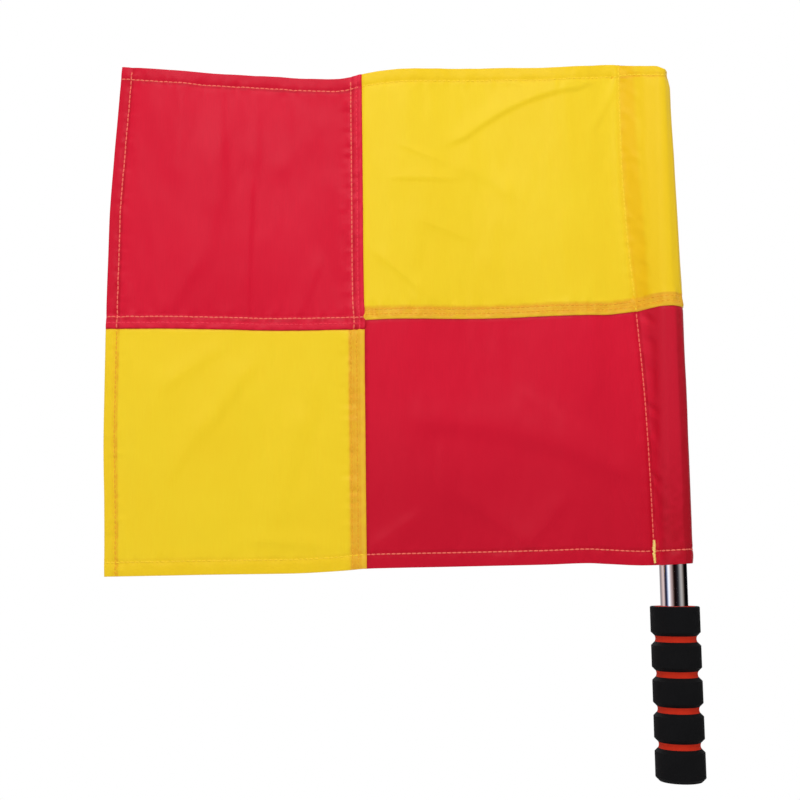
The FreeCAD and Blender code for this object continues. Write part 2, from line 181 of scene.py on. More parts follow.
# Each band's turn round the tube, in degrees from the camera's side, and its tone.
LEFT_CARD = (
    (-178, (0.34, 0.31, 0.33)), (-130, (0.34, 0.295, 0.31)), (-112, (0.60, 0.46, 0.44)),
    (-100, (0.90, 0.69, 0.65)), (-88, (0.66, 0.52, 0.53)), (-80, (0.09, 0.07, 0.09)),
    (-72, (0.02, 0.018, 0.04)), (-62, (0.03, 0.04, 0.09)), (-56, (0.24, 0.29, 0.44)),
    (-49, (0.80, 0.88, 1.08)), (-42, (1.16, 1.2, 1.28)), (-36, (1.18, 1.16, 1.22)),
)
RIGHT_CARD = (
    (-35, (1.14, 1.1, 1.16)), (-29, (0.84, 0.74, 0.78)), (-20, (0.52, 0.40, 0.39)),
    (-11, (0.36, 0.25, 0.24)), (-3, (0.07, 0.04, 0.035)), (5, (0.005, 0.001, 0.001)),
    (15, (0.007, 0.003, 0.003)), (24, (0.012, 0.009, 0.012)), (34, (0.028, 0.027, 0.033)),
    (43, (0.14, 0.14, 0.145)), (52, (0.36, 0.355, 0.36)), (62, (0.52, 0.50, 0.48)),
    (72, (0.40, 0.37, 0.35)), (82, (0.2, 0.17, 0.15)), (91, (0.025, 0.018, 0.015)),
    (100, (0.002, 0.002, 0.002)), (128, (0.001, 0.001, 0.001)), (150, (0.06, 0.06, 0.07)),
)
to_camera = Vector((camera.location.x, camera.location.y, 0)).normalized()
to_right = Vector((-to_camera.y, to_camera.x, 0))
card_paint = bpy.data.materials.new("studio_card")
tree = emptied(card_paint)
card_tone = node_in(tree, "Attribute", attribute_name="card_tone")
card_glow = node_in(tree, "Emission", {"Color": card_tone.outputs["Color"]})
node_in(tree, "OutputMaterial", {"Surface": card_glow.outputs[0]})
for card_name, card_bands in (("left_card", LEFT_CARD), ("right_card", RIGHT_CARD)):
    corners = []
    tones = []
    for band_turn, band_tone in card_bands:
        turn = math.radians(band_turn)
        edge = (to_camera * math.cos(turn) + to_right * math.sin(turn)) * CARD_DISTANCE
        corners += [(edge.x, edge.y, CARD_LOW), (edge.x, edge.y, CARD_HIGH)]
        tones += [(*band_tone, 1), (*band_tone, 1)]
    card_mesh = bpy.data.meshes.new(card_name)
    strips = [(2 * n, 2 * n + 2, 2 * n + 3, 2 * n + 1) for n in range(len(card_bands) - 1)]
    card_mesh.from_pydata(corners, [], strips)
    tone_data = card_mesh.attributes.new("card_tone", "FLOAT_COLOR", "POINT")
    tone_data.data.foreach_set("color", np.array(tones, np.float32).ravel())
    card_mesh.materials.append(card_paint)
    card = set_in_scene(card_name, card_mesh)
    card.visible_camera = False
    card.visible_diffuse = False
    card.visible_shadow = False
    card.visible_transmission = False


# The pole is a plain stainless steel tube, drawn and polished, with its two ends deburred.
# It stands loose in the flag's sleeve and is glued into the foam grip. Sizes are in mm from here.
MM = 0.001
TUBE_RADIUS = 8.75
TUBE_WALL = 0.6
TUBE_FOOT = -46.5
TUBE_TOP = 398.9
TUBE_BREAK = 0.15
TUBE_SIDES = 128
TUBE_STEP = 12
STEEL_COLOUR = (0.82, 0.81, 0.82, 1)
STEEL_POLISH = (0.06, 0.11)
MARKS_PER_METRE = 2600
MARKS_DRAWN_OUT = (1, 1, 0.02)
MARK_DEPTH = 0.02 * MM
MARK_STRENGTH = 0.12
WORN_PER_METRE = 55


def smooth_piece(name, points, faces):
    """A piece with smooth faces, from its points in mm and their numbers round each face."""
    mesh = bpy.data.meshes.new(name)
    mesh.from_pydata((points * MM).tolist(), [], faces)
    mesh.polygons.foreach_set("use_smooth", [True] * len(mesh.polygons))
    mesh.update()
    return set_in_scene(name, mesh)


def turned_piece(name, profile, sides=96):
    """A closed ring of revolution about Z through (radius, height) points."""
    turns = np.linspace(0, math.tau, sides, endpoint=False)
    outline = np.array(profile)
    points = np.empty((len(outline), sides, 3))
    points[:, :, 0] = outline[:, 0, None] * np.cos(turns)
    points[:, :, 1] = outline[:, 0, None] * np.sin(turns)
    points[:, :, 2] = outline[:, 1, None]
    here = np.arange(len(outline))[:, None] * sides + np.arange(sides)
    after = np.roll(here, -1, axis=1)
    faces = np.stack([here, after, np.roll(after, -1, axis=0), np.roll(here, -1, axis=0)], axis=-1)
    return smooth_piece(name, points.reshape(-1, 3), faces.reshape(-1, 4).tolist())


def run_between(start, end, spacing):
    """Evenly spaced places from start to end, without the two themselves."""
    count = max(1, int(round(abs(start - end) / spacing)))
    return [start + (end - start) * step / count for step in range(1, count)]


def painted(name):
    """A new material with an empty Principled surface: the material, its tree and that surface."""
    material = bpy.data.materials.new(name)
    material.use_nodes = True
    return material, material.node_tree, material.node_tree.nodes["Principled BSDF"]


def bumped(tree, surface, height, strength, depth):
    """Gives a surface fine relief, from a height that changes over it."""
    bump = node_in(tree, "Bump", {"Height": height, "Strength": strength, "Distance": depth})
    tree.links.new(bump.outputs["Normal"], surface.inputs["Normal"])


def effect_group(name, count_name, given_out):
    """An empty node group that takes a place and a count per metre, and gives out plain values."""
    group = bpy.data.node_groups.new(name, "ShaderNodeTree")
    group.interface.new_socket("Place", in_out="INPUT", socket_type="NodeSocketVector")
    group.interface.new_socket(count_name, in_out="INPUT", socket_type="NodeSocketFloat")
    for output_name in given_out:
        group.interface.new_socket(output_name, in_out="OUTPUT", socket_type="NodeSocketFloat")
    taken = group.nodes.new("NodeGroupInput").outputs
    return group, taken["Place"], taken[count_name], group.nodes.new("NodeGroupOutput").inputs


def drawn_marks():
    """Node group: fine marks along a drawn tube. Gives their height, and how worn the polish is."""
    group, place, marks, result = effect_group("drawn_marks", "Marks", ("Height", "Wear"))
    drawn_out = node_in(group, "VectorMath", {0: place, 1: MARKS_DRAWN_OUT}, operation="MULTIPLY")
    fine = node_in(group, "TexNoise", {"Vector": drawn_out.outputs[0], "Scale": marks, "Detail": 4})
    rubbed = node_in(group, "TexNoise", {"Vector": place, "Scale": WORN_PER_METRE, "Detail": 3})
    group.links.new(fine.outputs["Fac"], result["Height"])
    group.links.new(rubbed.outputs["Fac"], result["Wear"])
    return group


outer_break = TUBE_RADIUS - TUBE_BREAK
inner_radius = TUBE_RADIUS - TUBE_WALL
inner_break = inner_radius + TUBE_BREAK
tube_profile = [(TUBE_RADIUS, TUBE_FOOT + TUBE_BREAK)]
tube_profile += [(TUBE_RADIUS, height) for height in run_between(TUBE_FOOT, TUBE_TOP, TUBE_STEP)]
tube_profile += [(TUBE_RADIUS, TUBE_TOP - TUBE_BREAK), (outer_break, TUBE_TOP)]
tube_profile += [(inner_break, TUBE_TOP), (inner_radius, TUBE_TOP - TUBE_BREAK)]
tube_profile += [(inner_radius, height) for height in run_between(TUBE_TOP, TUBE_FOOT, TUBE_STEP)]
tube_profile += [(inner_radius, TUBE_FOOT + TUBE_BREAK), (inner_break, TUBE_FOOT)]
tube_profile += [(outer_break, TUBE_FOOT)]
pole_tube = turned_piece("pole_tube", tube_profile, TUBE_SIDES)

steel, tree, surface = painted("polished_steel")
surface.inputs["Metallic"].default_value = 1
surface.inputs["Base Color"].default_value = STEEL_COLOUR
tube_marks = {"Place": place_on(tree), "Marks": MARKS_PER_METRE}
marks = node_in(tree, "Group", tube_marks, node_tree=drawn_marks()).outputs
tree.links.new(ranged(tree, marks["Wear"], 0.3, 0.7, *STEEL_POLISH), surface.inputs["Roughness"])
bumped(tree, surface, marks["Height"], MARK_STRENGTH, MARK_DEPTH)
pole_tube.data.materials.append(steel)
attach(pole_tube, "pole")
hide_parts("steel_tube")


# Two plugs moulded in black plastic close the tube's ends, pressed in by their stems.
# One sits inside the mouth of the sleeve, the other up in the foam of the grip's foot.
PLUG_DARK = (0.026, 0.026, 0.028)
PLUG_LIGHT = (0.036, 0.036, 0.037)
PLUG_EDGE = 0.4
PLUG_ROUGHNESS = 0.45
PLUG_GRAINS = 4200
PLUG_GRAIN_DEPTH = 0.05 * MM
PLUG_GRAIN_STRENGTH = 0.3
PATCHES_PER_METRE = 90


def moulded_grain():
    """Node group: the fine grain of a moulding or of a foam's skin. Gives its height and patches."""
    group, place, grains, result = effect_group("moulded_grain", "Grains", ("Height", "Patches"))
    fine = {"Vector": place, "Scale": grains, "Detail": 3, "Roughness": 0.6}
    wide = {"Vector": place, "Scale": PATCHES_PER_METRE, "Detail": 2}
    grain = node_in(group, "TexNoise", fine)
    patches = node_in(group, "TexNoise", wide)
    group.links.new(grain.outputs["Fac"], result["Height"])
    group.links.new(patches.outputs["Fac"], result["Patches"])
    return group


def grained(tree, count):
    """The moulded grain on a piece, with that many grains in a metre."""
    fed = {"Place": place_on(tree), "Grains": count}
    return node_in(tree, "Group", fed, node_tree=grain_group).outputs


def mixed(tree, first, second, share):
    """A colour that goes from the first to the second with a share. Each is plain or a socket."""
    fed = {"Factor": share}
    for side, tone in (("A", first), ("B", second)):
        fed[side] = (*tone, 1) if isinstance(tone, tuple) else tone
    return node_in(tree, "Mix", fed, data_type="RGBA").outputs["Result"]


grain_group = moulded_grain()
plug_plastic, tree, surface = painted("moulded_black_plastic")
grain = grained(tree, PLUG_GRAINS)
plug_colour = mixed(tree, PLUG_DARK, PLUG_LIGHT, grain["Patches"])
tree.links.new(plug_colour, surface.inputs["Base Color"])
surface.inputs["Roughness"].default_value = PLUG_ROUGHNESS
bumped(tree, surface, grain["Height"], PLUG_GRAIN_STRENGTH, PLUG_GRAIN_DEPTH)
for plug_name in ("top_plug", "bottom_plug"):
    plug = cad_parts[plug_name]
    plug.data.materials.clear()
    plug.data.materials.append(plug_plastic)
    soft_edge = plug.modifiers.new("soft_edge", "BEVEL")
    soft_edge.width = PLUG_EDGE * MM
    soft_edge.segments = 3
    soft_edge.limit_method = "ANGLE"


# The grip's inner layer is a tube of orange foam glued round the steel, cut off flush at both
# ends. It shows at the bottom of the four grooves, where it bows in a little between the rings.
GRIP_END = 53.5
CORE_RADIUS = 13.2
CORE_BORE = TUBE_RADIUS + 0.02
CORE_EDGE = 0.4
CORE_BORE_EDGE = 0.3
CORE_WAIST = 0.45
GROOVE_CENTRES = (-31.8, -10.1, 11.6, 33.3)
GROOVE_FLOOR = 3.7
FOAM_GRAINS = 1500
FOAM_PORES = 1300
PORE_WALL = 0.25
PORE_STRENGTH = 0.7
FOAM_ROUGHNESS = (0.72, 0.92)
FOAM_SHINE = 0.09
ORANGE_DARK = (0.46, 0.018, 0.006)
ORANGE_LIGHT = (0.60, 0.030, 0.010)
ORANGE_PORES = 0.06 * MM
# Places across a groove, in half widths from its middle, where the orange foam's waist is drawn.
WAIST_PLACES = (-1.5, -1, -0.75, -0.5, -0.25, 0, 0.25, 0.5, 0.75, 1, 1.5)


def foam(name, dark, light, pore_depth):
    """Closed-cell foam: matt, with its colour a little uneven and fine pores all over."""
    material, tree, surface = painted(name)
    grain = grained(tree, FOAM_GRAINS)
    pore_places = {"Vector": place_on(tree), "Scale": FOAM_PORES}
    pores = node_in(tree, "TexVoronoi", pore_places, feature="DISTANCE_TO_EDGE")
    cell = ranged(tree, pores.outputs["Distance"], 0, PORE_WALL, 0, 1)
    height = maths(tree, "ADD", grain["Height"], cell)
    bumped(tree, surface, height, PORE_STRENGTH, pore_depth)
    tree.links.new(mixed(tree, dark, light, grain["Patches"]), surface.inputs["Base Color"])
    roughness = ranged(tree, grain["Height"], 0, 1, *FOAM_ROUGHNESS)
    tree.links.new(roughness, surface.inputs["Roughness"])
    surface.inputs["Specular IOR Level"].default_value = FOAM_SHINE
    return material


core_profile = [(CORE_RADIUS - CORE_EDGE, -GRIP_END), (CORE_RADIUS, -GRIP_END + CORE_EDGE)]
for centre in GROOVE_CENTRES:
    for share in WAIST_PLACES:
        dip = CORE_WAIST * max(0, 1 - share * share)
        core_profile.append((CORE_RADIUS - dip, centre + share * GROOVE_FLOOR / 2))
core_profile += [(CORE_RADIUS, GRIP_END - CORE_EDGE), (CORE_RADIUS - CORE_EDGE, GRIP_END)]
core_profile += [(TUBE_RADIUS + CORE_BORE_EDGE, GRIP_END), (CORE_BORE, GRIP_END - CORE_BORE_EDGE)]
core_profile += [(CORE_BORE, -GRIP_END + CORE_BORE_EDGE), (TUBE_RADIUS + CORE_BORE_EDGE, -GRIP_END)]
foam_core = turned_piece("foam_core", core_profile)
orange_foam = foam("orange_foam", ORANGE_DARK, ORANGE_LIGHT, ORANGE_PORES)
foam_core.data.materials.append(orange_foam)
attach(foam_core, "pole")
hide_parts("grip_core")


# Five rings of black foam are what is left of the grip's outer layer once the grooves are cut.
# Their slanting walls and rims are a little rounded, and the lowest ring's foot is cut back.
GRIP_RADIUS = 15.5
RING_WALL = 2.3
RING_ROUND = 0.4
RING_SHARP = 0.02
RING_BORE = CORE_RADIUS - 0.1
RING_BORE_EDGE = 0.01
TOP_RING_CUT = 0.5
TOP_RING_ROUND = 0.25
TOP_RING_EDGE = 0.2
BLACK_DARK = (0.0030, 0.0031, 0.0037)
BLACK_LIGHT = (0.0055, 0.0055, 0.0062)
BLACK_PORES = 0.08 * MM


def rounded_profile(corners, radii, steps=5):
    """The corners of a section with each one rounded by its radius, as a closed run of points."""
    outline = []
    for index, (corner, radius) in enumerate(zip(corners, radii)):
        here = Vector(corner)
        back = (Vector(corners[index - 1]) - here).normalized()
        ahead = (Vector(corners[(index + 1) % len(corners)]) - here).normalized()
        half = back.angle(ahead) / 2
        reach = radius / math.tan(half)
        start = here + back * reach
        end = here + ahead * reach
        for step in range(steps + 1):
            share = step / steps
            near = start.lerp(here, share)
            far = here.lerp(end, share)
            outline.append(tuple(near.lerp(far, share)))
    return outline


black_foam = foam("black_foam", BLACK_DARK, BLACK_LIGHT, BLACK_PORES)
ring_edges = [-GRIP_END]
for centre in GROOVE_CENTRES:
    ring_edges += [centre - GROOVE_FLOOR / 2, centre + GROOVE_FLOOR / 2]
ring_edges.append(GRIP_END)
top_ring = len(GROOVE_CENTRES)
for number in range(top_ring + 1):
    foot = ring_edges[2 * number]
    head = ring_edges[2 * number + 1]
    foot_inner = CORE_RADIUS
    head_inner = CORE_RADIUS
    head_cut = RING_WALL
    radii = [RING_SHARP, RING_ROUND, RING_ROUND, RING_SHARP, RING_BORE_EDGE, RING_BORE_EDGE]
    if number == 0:
        foot_inner = GRIP_RADIUS - RING_WALL
    if number == top_ring:
        head_inner = GRIP_RADIUS - TOP_RING_CUT
        head_cut = TOP_RING_CUT
        radii[2:4] = [TOP_RING_ROUND, TOP_RING_EDGE]
    corners = [
        (foot_inner, foot),
        (GRIP_RADIUS, foot + RING_WALL),
        (GRIP_RADIUS, head - head_cut),
        (head_inner, head),
        (RING_BORE, head),
        (RING_BORE, foot),
    ]
    ring = turned_piece(f"foam_ring_{number + 1}", rounded_profile(corners, radii))
    ring.data.materials.append(black_foam)
    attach(ring, "pole")
    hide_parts(f"grip_ring_{number + 1}")


# The cloth: four quarters of thin plain-woven polyester, felled together with two rows each and
# hemmed all round. These are the finished outlines and the low waves that the cloth hangs in.
CLOTH = 0.3
HEM = 9
FLY_HEM = 7.5
# How far one quarter's edge is tucked behind the next one's fell.
LAP = 1.2
MESH_STEP = 1.25
END_GAPS = (0, 0.06, 0.16, 0.3, 0.5, 0.85, 1.3)
QUARTER_HEIGHT = 172.0
# Each fell's width, and how far its two rows of stitches lie from its edge.
FELLS = {
    "upright_upper": {"width": 9.0, "row": 7.7, "inner": 3.9},
    "upright_lower": {"width": 10.4, "row": 9.2, "inner": 5.4},
    "level_fly": {"width": 9.6, "row": 8.3, "inner": 4.2},
    "level_hoist": {"width": 8.5, "row": 7.0, "inner": 3.7},
}
# The edges and seams, as places across the flag and up it, or up it and across for the upright ones.
TOP_EDGE = (
    (-367.1, 418.5), (-338.7, 415.7), (-305.4, 414.1), (-272.3, 413.7), (-239.1, 411.5),
    (-217, 410.2), (-200.6, 412.9), (-181.3, 415.3), (-164.8, 416.3), (-148.3, 417.3),
    (-107, 418.1), (-74, 416.5), (-49.4, 417.6), (-32.9, 419.3), (-26, 419.3), (12, 419.3),
)
FOOT_EDGE = (
    (-365.8, 71.9), (-327.7, 72.6), (-296.8, 73.2), (-242.7, 74), (-211.8, 75.7),
    (-196.4, 77), (-173.3, 77.6), (-142.4, 78.2), (-111.6, 78.9), (-80.8, 79.6),
    (-53.9, 80.5), (-42.4, 80), (-19.4, 79.1), (11.3, 80.4),
)
FLY_EDGE = (
    (72.4, -365.2), (108.3, -366.6), (160.5, -369.3), (200.4, -370.1), (254.7, -370.8),
    (310, -371.2), (352.5, -369.8), (395.6, -367.6), (419.3, -366.2),
)
UPRIGHT_SEAM = (
    (77.5, -196.3), (160, -197.5), (232.4, -198.4), (237.1, -197.8), (254.2, -198.9),
    (330, -200.1), (413.6, -201.3),
)
FLY_LEVEL_SEAM = ((-371.6, 234.4), (-285, 234.2), (-196, 233.9))
HOIST_LEVEL_SEAM = (
    (-201, 240.1), (-197.1, 240.2), (-175.8, 240.8), (-109.4, 242), (-43.1, 243.1),
    (-19.2, 245.5), (-3.3, 246.9), (12, 247.3),
)
# How far the sleeve's stitch lies from the tube's axis, up the flag, and how loose the sleeve is.
SLEEVE_STITCH = (
    (64, 11.65), (120.7, 12.45), (180.7, 14.25), (244, 18.3), (300.6, 22.95), (363.9, 25.3),
    (430.6, 25.3),
)
SLEEVE_FLARE = ((64, 1), (120.7, 1), (180.7, 1), (244, 0.9), (300.6, 0.5), (363.9, 0), (430.6, 0))
# Four long waves and half of a fifth: the lines where they cross the flag's plane, how far each
# goes behind it (minus is in front), and how each line leans.
WAVE_LINES = (31, 89.3, 148.8, 208.3, 286.4, 384)
WAVE_DEPTHS = (-2.3, 2.3, -2.3, 3.0, -3.9)
WAVE_LEANS = (0, 4, -5, 6, 9, 0)
WAVE_LEVEL = 240
WAVE_REACH = 170
WAVE_GROWTH = 0.18
# Beside the sleeve the cloth is held flat to the first distance, and free from the second.
WAVES_BEGIN = (30, 48)
RUMPLES_BEGIN = (30, 60)
FOLDS_BEGIN = (0.5, 7)
# Height, size, stretch, seed and lean of the unevenness, and of the finer one outside the sleeve.
RUMPLES = ((0.9, 40, 1.4, 3, 0), (0.38, 15, 2.0, 5, 0), (0.2, 7, 5, 9, 0.1))
CREPE = (0.15, 5.5, 2.4, 8)
RUMPLE_CELLS = 220
RUMPLE_START = (-500, -100)
# Folds and dents of this one flag: where each runs from and to, how far its two slopes spread
# (above it or to its right, then the other), its rise (minus is to the front) and its bow.
FOLDS = (
    (-131, 368, -54, 402, 9, 1.9, -0.9, 6.5),
    (-169, 338, -147, 338, 5, 1.3, -0.4, 0),
    (-167, 358, -157, 354, 4, 1.5, -0.3, 0),
    (-133, 346, -104, 330, 12, 5, -0.6, 3),
    (-104, 330, -101, 307, 5, 10, -0.6, 0),
    (-113, 304, -114, 280, 5, 9, -0.5, 0),
    (-150, 305, -137, 300, 6, 2.5, -0.4, 0),
    (-184, 280, -166, 265, 6, 2, -0.5, 0),
    (-39, 381, -29, 400, 5, 2, -0.5, 0),
    (-326, 400, -326, 347, 6, 8, -0.7, 0),
    (-298, 400, -297, 323, 6, 9, -0.75, 0),
    (-274, 400, -274, 358, 5, 9, -0.5, 0),
    (-276, 326, -277, 250, 1.6, 8, -0.55, 0),
    (-327, 252, -316, 271, 7, 5, -0.7, 0),
    (-242, 250, -232, 274, 6, 4, -0.6, 0),
    (-252, 350, -232, 375, 8, 9, -0.55, 0),
    (-216, 330, -215, 280, 3, 7, -0.5, 0),
    (-299, 171, -281, 201, 10, 4.5, -0.8, 0),
    (-321, 142, -308, 165, 8, 4, -0.65, 0),
    (-325, 200, -303, 216, 8, 5, -0.55, 0),
    (-344, 168, -326, 198, 9, 6, -0.55, 2),
    (-239, 171, -233, 196, 10, 6, -0.6, 0),
    (-255, 114, -240, 171, 13, 8, -0.9, 0),
    (-265, 95, -232, 93, 6, 4, -0.6, 0),
    (-100, 232, -101, 196, 8, 6, 0.7, 0),
    (-47, 231, -46, 200, 7, 9, -0.7, 0),
    (-157, 173, -37, 142, 13, 8, -1.2, 7.5),
    (-95, 190, -62, 166, 6, 14, -0.5, 0),
    (-33, 137, -20, 103, 8, 2.4, -0.65, 0),
    (-127, 118, -98, 97, 9, 4.5, -0.75, 0),
    (-90, 95, -75, 114, 9, 4.5, -0.75, 0),
    (-186, 95, -170, 106, 5, 10, -0.9, 0),
    (-147, 151, -147, 129, 8, 4, -0.5, 0),
)
FOLD_SCALE = 1.2
FOLD_FADE = 11
# What a row of stitches does to a hem or fell: puffed up before it, drawn in at it, puckered.
PUFF = 0.25
DRAWN_IN = 0.34
DRAWN_WIDE = 1.2
PUCKER = 0.52
PUCKER_LUMP = 3.6
PUCKER_REACH = 6
PUCKER_BEGINS = (0.6, 3)
# How far from a row its two lines of painted shade lie, and how wide they are.
INNER_LINE = (1.2, 0.65)
OUTER_LINE = (1.3, 0.8)
# The weave and the dyes: yarns and streaks in a metre, and colours. Deep is cloth that lies
# double, and also painted shade on the sleeves and low on the lower pole quarter; under is what
# the next quarter's cloth tints, and a painted sheen on the lower sleeve; the darkest tone is
# painted shade, in lines beside rows and along edges, and on the sleeve's shaded side.
YARNS_PER_METRE = 2400
STREAKS_PER_METRE = (1400, 70, 1)
WEAVE_DEPTH = 0.04 * MM
WEAVE_STRENGTH = 0.35
CLOUDS_PER_METRE = 14
CLOTH_ROUGHNESS = (0.42, 0.5)
CLOTH_SHINE = 0.12
# How much of the deeper shade the dye's clouds and streaks bring, and how much of the darkest
# tone, which is painted shade, a shaded line brings.
CLOUDED = (0.35, 0.65, 0, 0.16)
STREAKED = (0.3, 0.75, 0, 0.22)
PAINTED_SHADOW = (0, 1, 0, 0.8)
RED_DYES = {
    "colour": (0.675, 0.0048, 0.029),
    "deep": (0.50, 0.003, 0.018),
    "under": (0.73, 0.015, 0.045),
    "shadow_tone": (0.42, 0.002, 0.012),
    "gleam": (1, 0.9, 1),
}
YELLOW_DYES = {
    "colour": (0.875, 0.63, 0.018),
    "deep": (0.84, 0.505, 0.005),
    "under": (0.81, 0.45, 0.032),
    "shadow_tone": (0.77, 0.32, 0.012),
    "gleam": (1, 0.97, 0.9),
}


def flowing(table, at):
    """A smooth line through a table of (place, value), with no overshoot between its points."""
    knots, values = np.array(table, float).T
    at = np.clip(at, knots[0], knots[-1])
    widths = np.diff(knots)
    slopes = np.diff(values) / widths
    leans = np.zeros(len(knots))
    same_way = slopes[:-1] * slopes[1:] > 0
    near = 2 * widths[1:] + widths[:-1]
    far = widths[1:] + 2 * widths[:-1]
    safe_before = np.where(same_way, slopes[:-1], 1)
    safe_after = np.where(same_way, slopes[1:], 1)
    leans[1:-1] = np.where(same_way, (near + far) / (near / safe_before + far / safe_after), 0)
    leans[0] = slopes[0]
    leans[-1] = slopes[-1]
    span = np.clip(np.searchsorted(knots, at, side="right") - 1, 0, len(widths) - 1)
    share = (at - knots[span]) / widths[span]
    left = (1 + 2 * share) * (1 - share) ** 2 * values[span]
    left += share * (1 - share) ** 2 * widths[span] * leans[span]
    right = share**2 * (3 - 2 * share) * values[span + 1]
    right += share**2 * (share - 1) * widths[span] * leans[span + 1]
    return left + right


def eased(value, start, end):
    """0 up to start, 1 past end, and a soft turn between them."""
    share = np.clip((value - start) / (end - start), 0, 1)
    return share * share * (3 - 2 * share)


def hump(distance, width):
    """1 on a line and falling softly to 0 beside it, within about twice that width."""
    return np.exp(-((distance / width) ** 2))


def rumples(across, up, size, stretch, seed):
    """Soft seeded unevenness from -1 to 1, in lumps of that size, longer upwards by stretch."""
    cells = np.random.default_rng(seed).uniform(-1, 1, (RUMPLE_CELLS, RUMPLE_CELLS))
    last = RUMPLE_CELLS - 1
    column = (np.asarray(across) - RUMPLE_START[0]) / size
    row = (np.asarray(up) - RUMPLE_START[1]) / (size * stretch)
    left = np.floor(column).astype(int)
    low = np.floor(row).astype(int)
    side = eased(column - left, 0, 1)
    rise = eased(row - low, 0, 1)
    left = left % last
    low = low % last
    lower = cells[low, left] * (1 - side) + cells[low, left + 1] * side
    upper = cells[low + 1, left] * (1 - side) + cells[low + 1, left + 1] * side
    return lower * (1 - rise) + upper * rise


def cloth_depth(across, up):
    """How far behind the pole's plane the cloth lies at a place on the flag."""
    lift = (up - WAVE_LEVEL) / WAVE_REACH
    lines = [line + lean * lift for line, lean in zip(WAVE_LINES, WAVE_LEANS)]
    depth = np.zeros(np.broadcast(across, up).shape)
    for index, wave_depth in enumerate(WAVE_DEPTHS):
        share = (-across - lines[index]) / (lines[index + 1] - lines[index])
        inside = (share > 0) & (share <= 1)
        swell = wave_depth * (1 + WAVE_GROWTH * lift * (-1) ** index)
        depth = depth + np.where(inside, swell * np.sin(math.pi * np.clip(share, 0, 1)), 0)
    depth = depth * eased(-across, *WAVES_BEGIN)
    free = eased(-across - flowing(SLEEVE_STITCH, up), *FOLDS_BEGIN)
    for x0, z0, x1, z1, above, below, rise, bow in FOLDS:
        length = math.hypot(x1 - x0, z1 - z0)
        along = ((across - x0) * (x1 - x0) + (up - z0) * (z1 - z0)) / length**2
        aside = ((across - x0) * (z0 - z1) + (up - z0) * (x1 - x0)) / length
        aside = aside - bow * (1 - (2 * np.clip(along, 0, 1) - 1) ** 2)
        past = np.maximum(0, np.abs(along - 0.5) - 0.5) * length
        spread = np.where(aside > 0, above, below)
        depth = depth + free * FOLD_SCALE * rise * hump(past, FOLD_FADE) * hump(aside, spread)
    held = eased(-across, *RUMPLES_BEGIN)
    for height, size, stretch, seed, lean in RUMPLES:
        depth = depth + held * height * rumples(across + lean * up, up, size, stretch, seed)
    return depth + free * CREPE[0] * rumples(across, up, *CREPE[1:])


def sewn_relief(edge, row, along, seed):
    """How far a hem or fell stands out on the front, by the distance from its edge."""
    puff = PUFF * np.sin(math.pi * np.clip(edge / row, 0, 1))
    pucker = PUCKER * rumples(along, edge * 0.5, PUCKER_LUMP, 1, seed) * hump(edge - row, PUCKER_REACH)
    return puff - DRAWN_IN * hump(edge - row, DRAWN_WIDE) + pucker * eased(edge, *PUCKER_BEGINS)


def painted_shade_lines(edge, row, inner=0.9, outer=0.3):
    """Two painted shade lines beside a row of stitches: the one away from the edge, then the other."""
    inner_line = hump(edge - row - INNER_LINE[0], INNER_LINE[1])
    outer_line = hump(edge - row + OUTER_LINE[0], OUTER_LINE[1])
    return inner * inner_line + outer * outer_line


def spaced(start, end):
    """Places from start to end a mesh step apart, and closer together at both ends."""
    places = [start + gap for gap in END_GAPS]
    tail = [end - gap for gap in reversed(END_GAPS)]
    return np.array(places + run_between(places[-1], tail[0], MESH_STEP) + tail)


def unit(vectors):
    """The same directions with a length of one."""
    return vectors / np.maximum(np.linalg.norm(vectors, axis=-1, keepdims=True), 1e-9)


def outward(points):
    """The direction away from the cloth's front at each point of a grid."""
    return unit(np.cross(np.gradient(points, axis=1), np.gradient(points, axis=0)))


def faced(points, extra, edge, round_off):
    """Front and back of the cloth about its middle grid, thicker at the back by extra."""
    normal = outward(points)
    front = np.full(extra.shape, CLOTH / 2)
    back = -(CLOTH / 2 + extra)
    middle = (front + back) / 2
    fold = np.sqrt(np.clip(1 - (1 - np.clip(edge / round_off, 0, 1)) ** 2, 0, 1))
    front = middle + (front - middle) * fold
    back = middle + (back - middle) * fold
    return points + normal * front[..., None], points + normal * back[..., None]


def closed_sheet(name, front, back, place, masks):
    """A closed thin sheet from its front and back grids of points, which share their outer edge."""
    rows, columns = front.shape[:2]
    number = np.arange(rows * columns).reshape(rows, columns)
    inner = number.copy()
    inner[1:-1, 1:-1] = rows * columns + np.arange((rows - 2) * (columns - 2)).reshape(rows - 2, -1)

    def cells(ids):
        corners = [ids[:-1, :-1], ids[:-1, 1:], ids[1:, 1:], ids[1:, :-1]]
        return np.stack(corners, axis=-1).reshape(-1, 4)

    def both_sides(near, far):
        far_inside = far[1:-1, 1:-1].reshape((rows - 2) * (columns - 2), -1)
        return np.concatenate([near.reshape(rows * columns, -1), far_inside])

    faces = np.concatenate([cells(number), cells(inner)[:, ::-1]])
    sheet = smooth_piece(name, both_sides(front, back), faces.tolist())

    def keep(attribute, kind, field, values):
        held = sheet.data.attributes.new(attribute, kind, "POINT")
        held.data.foreach_set(field, both_sides(values, values).astype(np.float32).ravel())

    flat_place = np.dstack([place, np.zeros((rows, columns))]) * MM
    keep("cloth_place", "FLOAT_VECTOR", "vector", flat_place)
    for mask_name, values in masks.items():
        keep(mask_name, "FLOAT", "value", values)
    return sheet


def sewn_quarter(name, middle, thick, edges, round_off, place, masks):
    """One quarter as a sheet, with its two faces and the distances that its rows are sewn by."""
    nearest = np.minimum.reduce(list(edges.values()))
    front, back = faced(middle, 2 * CLOTH * thick, nearest, round_off)
    sheet = closed_sheet(name, front, back, place, masks)
    return {"sheet": sheet, "front": front, "back": back, "normal": outward(middle), "threads": []}


